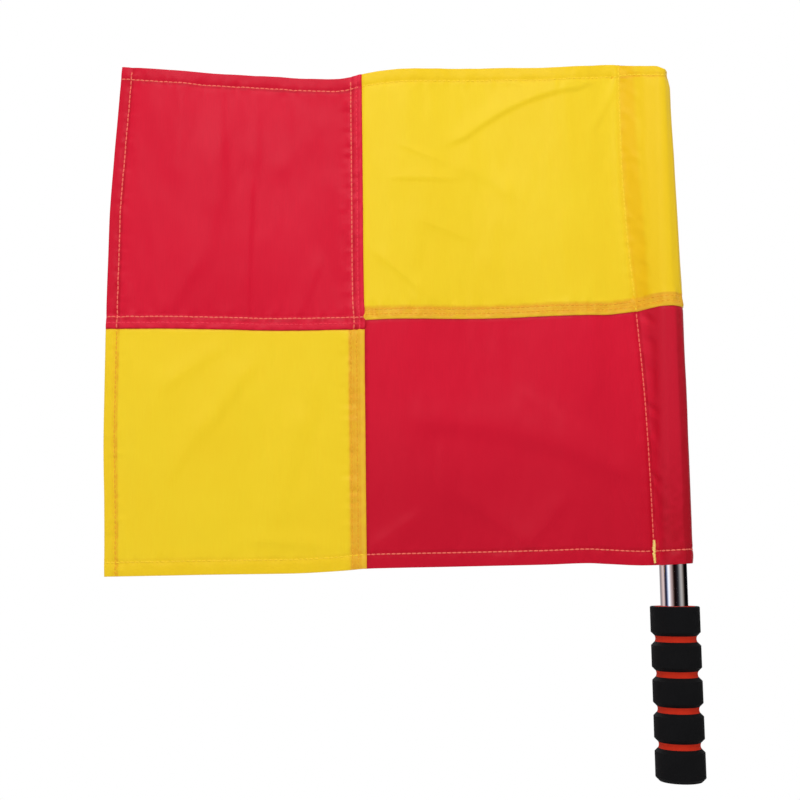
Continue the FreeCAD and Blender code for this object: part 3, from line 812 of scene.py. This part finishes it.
def plain_weave():
    """Node group: plain weave over the cloth's own place. Gives its height, its yarns and streaks."""
    group, place, yarns, result = effect_group("plain_weave", "Yarns", ("Height", "Over", "Streaks"))
    split = node_in(group, "SeparateXYZ", {0: place}).outputs
    pace = maths(group, "MULTIPLY", yarns, math.pi)
    warp = maths(group, "SINE", maths(group, "MULTIPLY", split["X"], pace))
    weft = maths(group, "SINE", maths(group, "MULTIPLY", split["Y"], pace))
    warp_body = maths(group, "ABSOLUTE", warp)
    weft_body = maths(group, "ABSOLUTE", weft)
    over = maths(group, "GREATER_THAN", maths(group, "MULTIPLY", warp, weft), 0.0)
    under = maths(group, "SUBTRACT", 1.0, over)
    warp_up = maths(group, "MULTIPLY", warp_body, maths(group, "SQRT", weft_body))
    weft_up = maths(group, "MULTIPLY", weft_body, maths(group, "SQRT", warp_body))
    warp_seen = maths(group, "MULTIPLY", warp_up, over)
    weft_seen = maths(group, "MULTIPLY", weft_up, under)
    group.links.new(maths(group, "ADD", warp_seen, weft_seen), result["Height"])
    group.links.new(over, result["Over"])
    drawn_out = node_in(group, "VectorMath", {0: place, 1: STREAKS_PER_METRE}, operation="MULTIPLY")
    streaks = node_in(group, "TexNoise", {"Vector": drawn_out.outputs[0], "Scale": 1, "Detail": 3})
    group.links.new(streaks.outputs["Fac"], result["Streaks"])
    return group


weave_group = plain_weave()


def dyed_cloth(name, colour, deep, under, shadow_tone, gleam):
    """Thin dyed polyester: a fine weave, a soft gleam, deeper where doubled, painted shade and sheen.
    """
    material, tree, surface = painted(name)

    def kept_in(attribute, output="Fac"):
        return node_in(tree, "Attribute", attribute_name=attribute).outputs[output]

    place = kept_in("cloth_place", "Vector")
    yarns = {"Place": place, "Yarns": YARNS_PER_METRE}
    weave = node_in(tree, "Group", yarns, node_tree=weave_group).outputs
    cloudy = {"Vector": place, "Scale": CLOUDS_PER_METRE, "Detail": 3}
    clouds = node_in(tree, "TexNoise", cloudy).outputs["Fac"]
    shade = mixed(tree, colour, deep, ranged(tree, clouds, *CLOUDED))
    shade = mixed(tree, shade, deep, ranged(tree, weave["Streaks"], *STREAKED))
    # Deeper where the cloth lies double, and painted shade on the sleeves and low on the lower pole
    # quarter.
    shade = mixed(tree, shade, deep, kept_in("layers_and_shade"))
    # The tint of the next quarter under a fell, and a painted sheen on the lower sleeve.
    shade = mixed(tree, shade, under, kept_in("under_tint_and_sheen"))
    # Painted shade: the darkest tone, laid on along shaded lines and on the sleeve's shaded side.
    shade = mixed(tree, shade, shadow_tone, ranged(tree, kept_in("painted_shade"), *PAINTED_SHADOW))
    tree.links.new(shade, surface.inputs["Base Color"])
    roughness = ranged(tree, weave["Over"], 0, 1, *CLOTH_ROUGHNESS)
    tree.links.new(roughness, surface.inputs["Roughness"])
    surface.inputs["Specular IOR Level"].default_value = CLOTH_SHINE
    surface.inputs["Specular Tint"].default_value = (*gleam, 1)
    bumped(tree, surface, weave["Height"], WEAVE_STRENGTH, WEAVE_DEPTH)
    return material


red_cloth = dyed_cloth("red_polyester", **RED_DYES)
yellow_cloth = dyed_cloth("yellow_polyester", **YELLOW_DYES)


# The two quarters at the free edge, red above yellow. Each is turned under twice at its outer
# edges, and its fell along the pole side covers the allowance of the quarter next to it.
FLY_LEFT = -370.0
FLY_RIGHT = -199.0
FLY_ROUND_OFF = 0.5
SETTLING_ROUNDS = 4
SOFT_STEP = 0.6
TUCKED_BACK = 0.4
TUCK_SLOPE = 1.4
LAYER_SLOPE = 0.8
# How strongly the two painted shade lines beside a row show, the one away from the edge first.
# The first pair is for a fell's outer row, the second for its inner row.
RED_ROW_SHADE = ((0.3, 0.9), (0.2, 0.35))
YELLOW_ROW_SHADE = ((0.9, 0.9), (0.5, 0.8))
YELLOW_HEM_SHADE = 0.2
# Strength and width of the painted shadow line along a covering edge, a fell's foot and a tucked edge.
COVERING_LINE = (0.7, 0.9)
FELL_FOOT_LINE = (1.1, 1.1)
TUCKED_LINE = (0.8, 0.8)
HEM_DEEPENS = 0.3


def ramp(distance, width):
    """1 within that distance of an edge and 0 beyond it, with a soft step between."""
    return 1 - eased(distance, width, width + SOFT_STEP)


def tucked(distance):
    """How much of a tucked edge lies behind its neighbour: 1 at the edge and 0 past the lap."""
    return 1 - eased(distance, LAP, LAP + TUCK_SLOPE)


def shaded(distance, strength, width):
    """A line of painted shadow along an edge."""
    return strength * hump(distance, width)


def layered(distance):
    """0 where a quarter is tucked away, so that it isn't doubled there, and 1 past the lap."""
    return eased(distance, LAP, LAP + LAYER_SLOPE)


def on_flag(sheet, cloth, panel):
    """Dyes a quarter and gives it its place on the turning flag."""
    sheet.data.materials.append(cloth)
    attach(sheet, "flag")
    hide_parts(panel)


def fly_quarter(name, low_edge, high_edge, is_top):
    """A quarter at the free edge: its hems, its fells, what they do to the cloth, its painted shade."""
    fell = FELLS["upright_upper" if is_top else "upright_lower"]
    level = FELLS["level_fly"]
    row_shade, inner_shade = RED_ROW_SHADE if is_top else YELLOW_ROW_SHADE
    along = (spaced(FLY_LEFT, FLY_RIGHT) - FLY_LEFT) / (FLY_RIGHT - FLY_LEFT)
    upward = spaced(0.0, QUARTER_HEIGHT) / QUARTER_HEIGHT
    across_share, up_share = np.meshgrid(along, upward)
    across = FLY_LEFT + across_share * (FLY_RIGHT - FLY_LEFT)
    # Edge and place depend on each other, so they are settled in turns.
    for _ in range(SETTLING_ROUNDS):
        foot = flowing(low_edge, across)
        head = flowing(high_edge, across) + (0 if is_top else LAP)
        up = foot + up_share * (head - foot)
        fly = flowing(FLY_EDGE, up)
        seam = flowing(UPRIGHT_SEAM, up)
        across = fly + across_share * (seam - fly)
    edges = {"fly": across - fly, "seam": seam - across, "foot": up - foot, "head": head - up}
    rows = [("fly", FLY_HEM, up, 21), ("seam", fell["row"], up, 22), ("seam", fell["inner"], up, 26)]
    layers_and_shade = ramp(edges["fly"], FLY_HEM)
    under_tint_and_sheen = ramp(edges["seam"], fell["width"])
    # Painted shade: darker lines in the grooves beside each row, and shadow along covering edges.
    painted_shade = painted_shade_lines(edges["fly"], FLY_HEM) + shaded(edges["seam"], *COVERING_LINE)
    painted_shade = painted_shade + painted_shade_lines(edges["seam"], fell["row"], *row_shade)
    painted_shade = painted_shade + painted_shade_lines(edges["seam"], fell["inner"], *inner_shade)
    if is_top:
        rows += [("head", HEM, across, 23), ("foot", level["row"], across, 24)]
        rows += [("foot", level["inner"], across, 27)]
        layers_and_shade = np.maximum(layers_and_shade, ramp(edges["head"], HEM))
        under_tint_and_sheen = np.maximum(under_tint_and_sheen, ramp(edges["foot"], level["width"]))
        painted_shade = painted_shade + painted_shade_lines(edges["head"], HEM)
        painted_shade = painted_shade + shaded(edges["foot"], *FELL_FOOT_LINE)
        painted_shade = painted_shade + painted_shade_lines(edges["foot"], level["row"], *row_shade)
        painted_shade = painted_shade + painted_shade_lines(edges["foot"], level["inner"], *inner_shade)
        tuck = 0
    else:
        rows.append(("foot", HEM, across, 25))
        layers_and_shade = np.maximum(layers_and_shade, ramp(edges["foot"], HEM))
        painted_shade = painted_shade + YELLOW_HEM_SHADE * painted_shade_lines(edges["foot"], HEM)
        painted_shade = painted_shade + shaded(edges["head"] - LAP, *TUCKED_LINE)
        tuck = TUCKED_BACK * tucked(edges["head"])
    thick = np.maximum(layers_and_shade, under_tint_and_sheen)
    if not is_top:
        thick = thick * layered(edges["head"])
    relief = sum(sewn_relief(edges[edge], row, run, seed) for edge, row, run, seed in rows)
    middle = np.stack([across, cloth_depth(across, up) - relief + tuck, up], axis=-1)
    masks = {
        "layers_and_shade": HEM_DEEPENS * layers_and_shade,
        "under_tint_and_sheen": under_tint_and_sheen * (0.8 + 0.2 * rumples(up + across, across - up, 3.4, 1.2, 28)),
        "painted_shade": np.clip(painted_shade * (0.85 + 0.5 * rumples(across, up, 2.6, 1, 46)), 0, 1),
    }
    place = np.stack([across, up], axis=-1)
    quarter = sewn_quarter(name, middle, thick, edges, FLY_ROUND_OFF, place, masks)
    return {**quarter, **edges}


fly_top = fly_quarter("fly_top_cloth", FLY_LEVEL_SEAM, TOP_EDGE, True)
on_flag(fly_top["sheet"], red_cloth, "fly_top_panel")
fly_bottom = fly_quarter("fly_bottom_cloth", FOOT_EDGE, FLY_LEVEL_SEAM, False)
on_flag(fly_bottom["sheet"], yellow_cloth, "fly_bottom_panel")


# The two quarters at the pole, yellow above red. Each runs on round the tube as one half of the
# sleeve and comes back to the sleeve's row of stitches, where its raw edge is turned in.
FLAT_WIDTH = 175
SEAM_PLACES = (-LAP, -0.9, -0.6, -0.2, 0.2, 0.7, 1.3)
LOOP_COLUMNS = {"front": 18, "round": 44, "back": 16}
TAB_PLACES = (0.6, 1.4, 2.4, 3.6, 4.4, 4.8, 5.0)
HOIST_ROUND_OFF = 0.45
SLEEVE_BORE = 9.45
SLEEVE_LAP = 5.0
SLEEVE_LAP_DEPTH = 1.0
# Between these levels the sleeve gets snug on the tube, and empties above its upper end.
SLEEVE_SNUG = (345, 392)
SLEEVE_SLACK = (399.5, 412)
SNUG_BY = 0.5
FLARED_BY = 1.5
FLARE_SHIFT = 0.8
EMPTY_BY = 1.0
EMPTY_SHIFT = -0.95
FAR_AWAY = 400.0
# Round the sleeve, how far its mouth and the row of its hem lie from the flag's top edge.
MOUTH = (
    (0, -0.3), (0.12, -2.4), (0.2, -4.2), (0.285, -5.1), (0.363, -6.5), (0.43, -6.5),
    (0.512, -5.4), (0.6, -4.6), (0.8, -3.0), (0.92, -1.0), (1, 0),
)
HEM_RISE = (
    (0, 1.0), (0.1, 2.4), (0.29, 2.5), (0.363, 4.2), (0.43, 5.0), (0.512, 5.2), (0.6, 4.0),
    (0.8, 1.0), (1, 0),
)
# Upright folds down the sleeve's front: place, spread to the left and to the right, and rise.
TOP_SLEEVE_FOLDS = ((-9.5, 2.5, 3.0, 0.3), (3.2, 3.6, 1.8, 0.6))
FOOT_SLEEVE_FOLDS = ((-3.4, 7, 2.2, 0.4), (4.2, 2.6, 1.4, 0.6))
# Painted shade: the two line strengths beside each row of the level fell, then the strength and width
# of the shadow along the lower quarter's tucked head edge and tucked seam edge.
LEVEL_ROW_SHADE = ((1.3, 0.6), (0.5, 0.8))
HEAD_LINE = (1.1, 1.2)
SEAM_LINE = (1.1, 1.6)


def sleeve_part(part, share, up):
    """Where one part of the sleeve lies: its front, its round, its back or its turned-in tab."""
    stitch = flowing(SLEEVE_STITCH, up)
    flare = flowing(SLEEVE_FLARE, up)
    slack = eased(up, *SLEEVE_SLACK)
    snug = eased(up, *SLEEVE_SNUG)
    radius = SLEEVE_BORE + CLOTH / 2 + FLARED_BY * flare - SNUG_BY * snug - EMPTY_BY * slack
    shift = FLARE_SHIFT * flare + EMPTY_SHIFT * slack
    half = np.arcsin(np.clip(radius / (stitch + shift), 0, 0.95))
    if part == "tab":
        return -stitch - share, np.full(np.broadcast(up, share).shape, SLEEVE_LAP_DEPTH)
    if part == "round":
        turn = -(math.pi / 2 + half) + share * (math.pi + 2 * half)
        return shift + radius * np.cos(turn), radius * np.sin(turn)
    start_y, side, at = (0.0, -1, share) if part == "front" else (SLEEVE_LAP_DEPTH, 1, 1 - share)
    touch_x = shift - radius * np.sin(half)
    touch_y = radius * np.cos(half)
    lead = 0.9 * np.hypot(touch_x + stitch, touch_y)
    from_stitch = 2 * at**3 - 3 * at**2 + 1
    to_tube = 3 * at**2 - 2 * at**3
    off_stitch = at**3 - 2 * at**2 + at
    on_tube = at**3 - at**2
    x = from_stitch * -stitch + off_stitch * lead * np.cos(half * 0.25)
    x = x + to_tube * touch_x + on_tube * lead * np.cos(half)
    y = from_stitch * start_y + off_stitch * side * lead * np.sin(half * 0.25)
    y = y + to_tube * side * touch_y + on_tube * side * lead * np.sin(half)
    return x, y


def hoist_places(low_edge, high_edge, is_top):
    """Where the cloth of a pole quarter lies, and how far each place is from its edges and rows."""
    flat_run = run_between(SEAM_PLACES[-1], FLAT_WIDTH, MESH_STEP)
    flat = np.array([*SEAM_PLACES, *flat_run, FLAT_WIDTH]) / FLAT_WIDTH
    shares = {part: np.linspace(0, 1, count + 1)[1:] for part, count in LOOP_COLUMNS.items()}
    shares["tab"] = np.array(TAB_PLACES)
    flat_span = slice(0, len(flat))
    spans = {}
    columns = len(flat)
    for part, share in shares.items():
        spans[part] = slice(columns, columns + len(share))
        columns += len(share)
    upward = spaced(0.0, QUARTER_HEIGHT) / QUARTER_HEIGHT
    up_share = np.repeat(upward[:, None], columns, axis=1)
    loop = np.clip((np.arange(columns) - len(flat) + 1) / sum(LOOP_COLUMNS.values()), 0, 1)
    mouth = np.zeros(up_share.shape)
    if is_top:
        mouth = mouth + flowing(MOUTH, loop)
        mouth[:, spans["tab"]] = 0
    across = np.full(up_share.shape, -100.0)
    depth = np.zeros(up_share.shape)
    for _ in range(SETTLING_ROUNDS):
        foot = flowing(low_edge, np.minimum(across, 12))
        head = flowing(high_edge, np.minimum(across, 12)) + (0 if is_top else LAP) + mouth
        up = foot + up_share * (head - foot)
        seam = flowing(UPRIGHT_SEAM, up[:, flat_span])
        stitch = -flowing(SLEEVE_STITCH, up[:, flat_span])
        across[:, flat_span] = seam + flat * (stitch - seam)
        if is_top:
            mouth[:, flat_span] = -0.3 * eased(across[:, flat_span] - stitch, -5.6, 0.6)
        for part, span in spans.items():
            across[:, span], depth[:, span] = sleeve_part(part, shares[part], up[:, span])
    depth[:, flat_span] = cloth_depth(across[:, flat_span], up[:, flat_span])
    travel = np.zeros(up.shape)
    travel[:, 1:] = np.cumsum(np.hypot(np.diff(across, axis=1), np.diff(depth, axis=1)), axis=1)
    edges = {"foot": up - foot, "head": head - up}
    edges["seam"] = np.full(up.shape, FAR_AWAY)
    edges["seam"][:, flat_span] = across[:, flat_span] - seam + LAP
    edges["tab"] = np.full(up.shape, FAR_AWAY)
    edges["tab"][:, spans["tab"]] = SLEEVE_LAP - shares["tab"]
    rows = {"past": travel - travel[:, len(flat) - 1 : len(flat)], "end": travel[:, -1:] - travel}
    rows["head"] = edges["head"]
    if is_top:
        rows["head"] = edges["head"] + flowing(HEM_RISE, loop) * (loop > 0)
    return across, depth, up, travel, edges, rows


def sleeve_relief(across, depth, up, travel, rows, is_top):
    """How far the cloth is pushed out or drawn in by the sleeve's stitch, its slack and its folds."""
    past = rows["past"]
    from_lap = rows["end"] - SLEEVE_LAP
    relief = -0.3 * hump(past, 1.2) + 0.3 * hump(past + 3, 2)
    relief = relief + 0.3 * rumples(up, travel * 0.4, 4.2, 1, 31) * hump(past, 5)
    beside_stitch = eased(past, 0, 3) * (1 - eased(past, 9, 16)) * (0.4 if is_top else 0.65)
    relief = relief + beside_stitch * rumples(up + travel * 0.5, travel, 5, 2, 38)
    relief = relief - 0.3 * hump(from_lap, 1.2)
    on_tube = eased(past, 1, 8) * eased(from_lap, 1, 9) * (1 - 0.6 * eased(up, *SLEEVE_SNUG))
    relief = relief + 0.3 * on_tube * (1 + rumples(travel, up, 7, 5.0, 32))
    relief = relief + 0.12 * on_tube * (1 + rumples(travel, up, 3.5, 5.0, 36))
    for fold_at, before, after, rise in TOP_SLEEVE_FOLDS if is_top else FOOT_SLEEVE_FOLDS:
        spread = np.where(across < fold_at, before, after)
        relief = relief + rise * hump(across - fold_at, spread) * (depth < 0) * eased(past, 3, 8)
    return relief


def hoist_quarter(name, low_edge, high_edge, is_top):
    """A quarter at the pole, with its half of the sleeve, its hem and the fell between the two."""
    across, depth, up, travel, edges, rows = hoist_places(low_edge, high_edge, is_top)
    level = FELLS["level_hoist"]
    past = rows["past"]
    on_loop = eased(past, 0.3, 1.6)
    relief = sleeve_relief(across, depth, up, travel, rows, is_top)
    # Painted shade in lines either side of the sleeve's row of stitches.
    stitch_shade = 0.9 * hump(past - 1.5, 0.7) + 0.45 * hump(past + 1.3, 0.6)
    tuck = TUCKED_BACK * tucked(edges["seam"])
    if is_top:
        relief = relief + sewn_relief(rows["head"], HEM, travel, 33)
        relief = relief + sewn_relief(edges["foot"], level["row"], travel, 34)
        relief = relief + sewn_relief(edges["foot"], level["inner"], travel, 37)
        hem = ramp(rows["head"], HEM)
        fell = ramp(edges["foot"], level["width"])
        thick = np.maximum(hem, fell)
        # Painted shade: the sleeve's doubled cloth is deepened for the dark tube behind it, and most in
        # a strip beside the tube, where the cloth slopes away from the light.
        beside_tube = -11 - 4.6 * eased(up, 250, 390)
        doubled_and_shade = on_loop * (0.4 + 0.6 * (1 - eased(across, beside_tube - 1.5, beside_tube + 2)))
        layers_and_shade = np.maximum(HEM_DEEPENS * hem * (1 - on_loop), doubled_and_shade)
        under_tint_and_sheen = fell * (0.78 + 0.22 * rumples(travel, edges["foot"], 3.4, 1.2, 39))
        # Painted shade: beside the sleeve's row, beside the hem's row and strongest on the sleeve's
        # mouth, and beside the level fell's rows.
        painted_shade = stitch_shade * 0.35 + (0.12 + 0.9 * on_loop) * painted_shade_lines(rows["head"], HEM)
        painted_shade = painted_shade + painted_shade_lines(edges["foot"], level["row"], *LEVEL_ROW_SHADE[0])
        painted_shade = painted_shade + painted_shade_lines(edges["foot"], level["inner"], *LEVEL_ROW_SHADE[1])
    else:
        relief = relief + sewn_relief(edges["foot"], HEM, travel, 35)
        hem = ramp(edges["foot"], HEM)
        thick = hem * layered(edges["head"])
        tuck = np.maximum(tuck, TUCKED_BACK * tucked(edges["head"]))
        # Painted shade: the sleeve's doubled cloth is deepened for the dark tube behind it, and the
        # flat cloth more towards the quarter's foot, where less light falls.
        doubled_and_shade = np.maximum(on_loop, 0.65 * eased(250 - up, 30, 150))
        layers_and_shade = np.maximum(HEM_DEEPENS * hem, doubled_and_shade)
        turned_away = eased(across, 4.2, 6)
        # Painted sheen: the paler under tint on the sleeve, where it mirrors the white room, and none
        # on the side turned away from the light.
        under_tint_and_sheen = on_loop * (1 - turned_away) * (0.25 + 0.45 * (1 - eased(past, 5, 10)))
        # Painted shade: beside the sleeve's and the foot hem's rows, and shadow along the tucked edges.
        painted_shade = stitch_shade + painted_shade_lines(edges["foot"], HEM)
        painted_shade = painted_shade + shaded(edges["head"] - LAP, *HEAD_LINE)
        painted_shade = painted_shade + shaded(edges["seam"] - LAP, *SEAM_LINE)
        # Painted shade on the sleeve: on its right side, turned away from the light, and low down.
        dim = 0.8 * turned_away + 0.9 * eased(200 - up, 20, 115) * eased(past, 5, 12)
        painted_shade = painted_shade + on_loop * dim
    thick = thick * layered(edges["seam"])
    thick = np.maximum(thick, 0.5 * ramp(edges["tab"], SLEEVE_LAP))
    middle = np.stack([across, depth, up], axis=-1)
    middle = middle + outward(middle) * (relief - tuck)[..., None]
    masks = {
        "layers_and_shade": layers_and_shade,
        "under_tint_and_sheen": under_tint_and_sheen,
        "painted_shade": np.clip(painted_shade * (0.85 + 0.5 * rumples(travel, up, 2.6, 1, 47)), 0, 1),
    }
    place = np.stack([travel - 200, up], axis=-1)
    quarter = sewn_quarter(name, middle, thick, edges, HOIST_ROUND_OFF, place, masks)
    return {**quarter, **edges, **rows}


hoist_top = hoist_quarter("hoist_top_cloth", HOIST_LEVEL_SEAM, TOP_EDGE, True)
on_flag(hoist_top["sheet"], yellow_cloth, "hoist_top_panel")
hoist_bottom = hoist_quarter("hoist_bottom_cloth", FOOT_EDGE, HOIST_LEVEL_SEAM, False)
on_flag(hoist_bottom["sheet"], red_cloth, "hoist_bottom_panel")


# The sewing: lockstitch in golden and rosy thread, on both faces, along every hem, twice along
# each fell and once down the sleeve, where the far side's stitches lie on the cloth that returns.
STITCH = 3.3
STITCH_GAP = 0.25
STITCH_PLACES = 6
ROW_ENDS = 1.0
THREAD_WIDE = 0.95
THREAD_TALL = 0.4
THREAD_SIDES = 6
THREAD_TWIST = 900
THREAD_DEPTH = 0.05 * MM
THREAD_STRENGTH = 0.4
THREAD_ROUGHNESS = 0.6
THREAD_SHINE = 0.1
# The share of a pole quarter's level rows that shows at the back: the rest is inside the sleeve.
OUTSIDE_SLEEVE = 0.62
# The edges that upright rows are sewn along. The others run level.
UPRIGHT_EDGES = ("fly", "seam", "past", "end")


def threads_mesh(name, centres, normals, wide, tall):
    """Closed flattened threads, one for each stitch. centres and normals are (stitches, places, 3)."""
    stitches, places = centres.shape[:2]
    aside = unit(np.cross(unit(np.gradient(centres, axis=1)), normals))
    turns = np.linspace(0, math.tau, THREAD_SIDES, endpoint=False)
    ends = np.sin(np.linspace(0.15, math.pi - 0.15, places)) ** 0.35
    ends = ends[None, :, None, None]
    flat_way = aside[:, :, None, :] * wide / 2 * ends * np.cos(turns)[None, None, :, None]
    upright_way = normals[:, :, None, :] * tall / 2 * ends * np.sin(turns)[None, None, :, None]
    points = (centres[:, :, None, :] + flat_way + upright_way).reshape(-1, 3)
    side = np.arange(THREAD_SIDES)
    base = np.arange(stitches)[:, None, None] * places * THREAD_SIDES
    ring = base + np.arange(places - 1)[None, :, None] * THREAD_SIDES
    here = ring + side
    after = ring + (side + 1) % THREAD_SIDES
    walls = np.stack([here, here + THREAD_SIDES, after + THREAD_SIDES, after], axis=-1)
    first = base[:, 0] + side
    last = base[:, 0] + (places - 1) * THREAD_SIDES + side[::-1]
    return smooth_piece(name, points, walls.reshape(-1, 4).tolist() + first.tolist() + last.tolist())


def line_where(quarter, edge, distance):
    """Front, back and facing along the line that lies at that distance from an edge of a quarter."""
    gap = quarter[edge] - distance
    grids = [quarter["front"], quarter["back"], quarter["normal"]]
    if edge in UPRIGHT_EDGES:
        gap = gap.T
        grids = [grid.transpose(1, 0, 2) for grid in grids]
    crossing = gap[:-1] * gap[1:] <= 0
    used = np.nonzero(crossing.any(axis=0))[0]
    first = crossing.argmax(axis=0)[used]
    share = (gap[first, used] / (gap[first, used] - gap[first + 1, used]))[:, None]
    return [grid[first, used] * (1 - share) + grid[first + 1, used] * share for grid in grids]


def lengths_along(line):
    """How far each point of a line is from its start."""
    return np.concatenate([[0], np.cumsum(np.linalg.norm(np.diff(line, axis=0), axis=1))])


def points_at(line, lengths, at):
    """The points of a line at those distances from its start."""
    return np.stack([np.interp(at, lengths, line[:, axis]) for axis in range(3)], axis=-1)


def stitches_on(line, facing, phase):
    """Stitch centres and facings, evenly spaced along a line of points and sunk in at their ends."""
    lengths = lengths_along(line)
    start = ROW_ENDS + phase * STITCH
    count = int((lengths[-1] - ROW_ENDS - start) / STITCH)
    shares = np.linspace(0, 1, STITCH_PLACES)
    at = start + (np.arange(count)[:, None] + shares[None, :] * (1 - STITCH_GAP / STITCH)) * STITCH
    facings = unit(points_at(facing, lengths, at))
    stand = 0.2 * np.sin(math.pi * shares) ** 0.6 - 0.1
    return points_at(line, lengths, at) + facings * stand[None, :, None], facings


def on_quarter(threads, quarter, thread):
    """Gives a quarter its sewn threads, which turn with it."""
    threads.data.materials.append(thread)
    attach(threads, "flag")
    quarter["threads"].append(threads)


def sew(name, quarter, edge, distance, thread, back_share=1):
    """One row of stitches, on the front and on the back of a quarter, as one piece."""
    front, back, facing = line_where(quarter, edge, distance)
    near_centres, near_facings = stitches_on(front, facing, 0)
    if edge == "past":
        far, _, far_facing = line_where(quarter, "end", SLEEVE_LAP)
    else:
        kept = int(back_share * len(back))
        far = back[:kept]
        far_facing = -facing[:kept]
    far_centres, far_facings = stitches_on(far, far_facing, 0.5)
    centres = np.concatenate([near_centres, far_centres])
    facings = np.concatenate([near_facings, far_facings])
    threads = threads_mesh(name, centres, facings, THREAD_WIDE, THREAD_TALL)
    on_quarter(threads, quarter, thread)


def thread_finish(name, colour, deep):
    """Twisted polyester thread: two shades wound round each other, with a soft shine."""
    material, tree, surface = painted(name)
    wound = {"Vector": place_on(tree), "Scale": THREAD_TWIST, "Distortion": 1.5}
    twist = node_in(tree, "TexWave", wound, bands_direction="DIAGONAL").outputs["Fac"]
    tree.links.new(mixed(tree, colour, deep, twist), surface.inputs["Base Color"])
    surface.inputs["Roughness"].default_value = THREAD_ROUGHNESS
    surface.inputs["Specular IOR Level"].default_value = THREAD_SHINE
    bumped(tree, surface, twist, THREAD_STRENGTH, THREAD_DEPTH)
    return material


gold_thread = thread_finish("gold_thread", (0.98, 0.69, 0.04), (0.92, 0.60, 0.025))
amber_thread = thread_finish("amber_thread", (0.90, 0.46, 0.03), (0.80, 0.36, 0.02))
rose_thread = thread_finish("rose_thread", (0.92, 0.205, 0.14), (0.84, 0.13, 0.095))
red_thread = thread_finish("red_thread", (0.86, 0.045, 0.08), (0.76, 0.03, 0.06))
upper = FELLS["upright_upper"]
level = FELLS["level_fly"]
for row, edge, distance, thread in (
    ("head_hem", "head", HEM, rose_thread),
    ("edge_hem", "fly", FLY_HEM, rose_thread),
    ("fell", "seam", upper["row"], rose_thread),
    ("fell_inner", "seam", upper["inner"], red_thread),
    ("level", "foot", level["row"], rose_thread),
    ("level_inner", "foot", level["inner"], red_thread),
):
    sew(f"fly_top_{row}_thread", fly_top, edge, distance, thread)
lower = FELLS["upright_lower"]
for row, edge, distance, thread in (
    ("foot_hem", "foot", HEM, gold_thread),
    ("edge_hem", "fly", FLY_HEM, amber_thread),
    ("fell", "seam", lower["row"], amber_thread),
    ("fell_inner", "seam", lower["inner"], amber_thread),
):
    sew(f"fly_bottom_{row}_thread", fly_bottom, edge, distance, thread)
level = FELLS["level_hoist"]
for row, edge, distance, thread, back_share in (
    ("head_hem", "head", HEM, gold_thread, OUTSIDE_SLEEVE),
    ("level", "foot", level["row"], amber_thread, OUTSIDE_SLEEVE),
    ("level_inner", "foot", level["inner"], amber_thread, OUTSIDE_SLEEVE),
    ("sleeve", "past", 0, gold_thread, 1),
):
    sew(f"hoist_top_{row}_thread", hoist_top, edge, distance, thread, back_share)
for row, edge, distance, thread, back_share in (
    ("foot_hem", "foot", HEM, rose_thread, OUTSIDE_SLEEVE),
    ("sleeve", "past", 0, rose_thread, 1),
):
    sew(f"hoist_bottom_{row}_thread", hoist_bottom, edge, distance, thread, back_share)


# The bar tack: a dense zigzag of yellow thread over the foot of the sleeve's row, which keeps
# the sleeve from tearing open where it is pulled on and off the pole.
TACK_START = 1.9
TACK_LENGTH = 14.8
TACK_WIDE = 2.2
TACK_PITCH = 0.42
TACK_UNEVEN = 0.1
TACK_BULGE = 10.5
TACK_THREAD = (0.5, 0.42)
tack_line, _, tack_facing = line_where(hoist_bottom, "past", 0.2)
tack_lengths = lengths_along(tack_line)
tack_at = TACK_START + np.arange(int(TACK_LENGTH / TACK_PITCH)) * TACK_PITCH
tack_normal = unit(points_at(tack_facing, tack_lengths, tack_at))
tack_side = np.cross([0, 0, 1], tack_normal)
tack_turn = 0.25 * np.sin(tack_at * 0.55)
tack_middle = points_at(tack_line, tack_lengths, tack_at)
tack_middle = tack_middle + tack_side * tack_turn[:, None] + tack_normal * 0.3
tack_random = np.random.default_rng(44)
tack_swell = 0.8 + 0.45 * hump(tack_at - TACK_BULGE, 3.2)
tack_wide = TACK_WIDE * tack_swell * (1 + TACK_UNEVEN * tack_random.uniform(-1, 1, len(tack_at)))
tack_lean = 0.35 * TACK_PITCH * (-1.0) ** np.arange(len(tack_at))
tack_shares = np.linspace(-0.5, 0.5, STITCH_PLACES)
tack_stand = 0.12 + 0.3 * np.cos(math.pi * tack_shares)
tack_across = (tack_wide[:, None] * tack_shares)[..., None]
tack_centres = tack_middle[:, None, :] + tack_side[:, None, :] * tack_across
tack_centres = tack_centres + tack_normal[:, None, :] * tack_stand[None, :, None]
tack_centres[..., 2] += tack_lean[:, None] * tack_shares[None, :] * 2
tack_normals = np.repeat(tack_normal[:, None, :], STITCH_PLACES, axis=1)
bar_tack = threads_mesh("bar_tack_thread", tack_centres, tack_normals, *TACK_THREAD)
tack_thread = thread_finish("bar_tack_thread", (1.0, 0.90, 0.35), (1.0, 0.70, 0.14))
on_quarter(bar_tack, hoist_bottom, tack_thread)
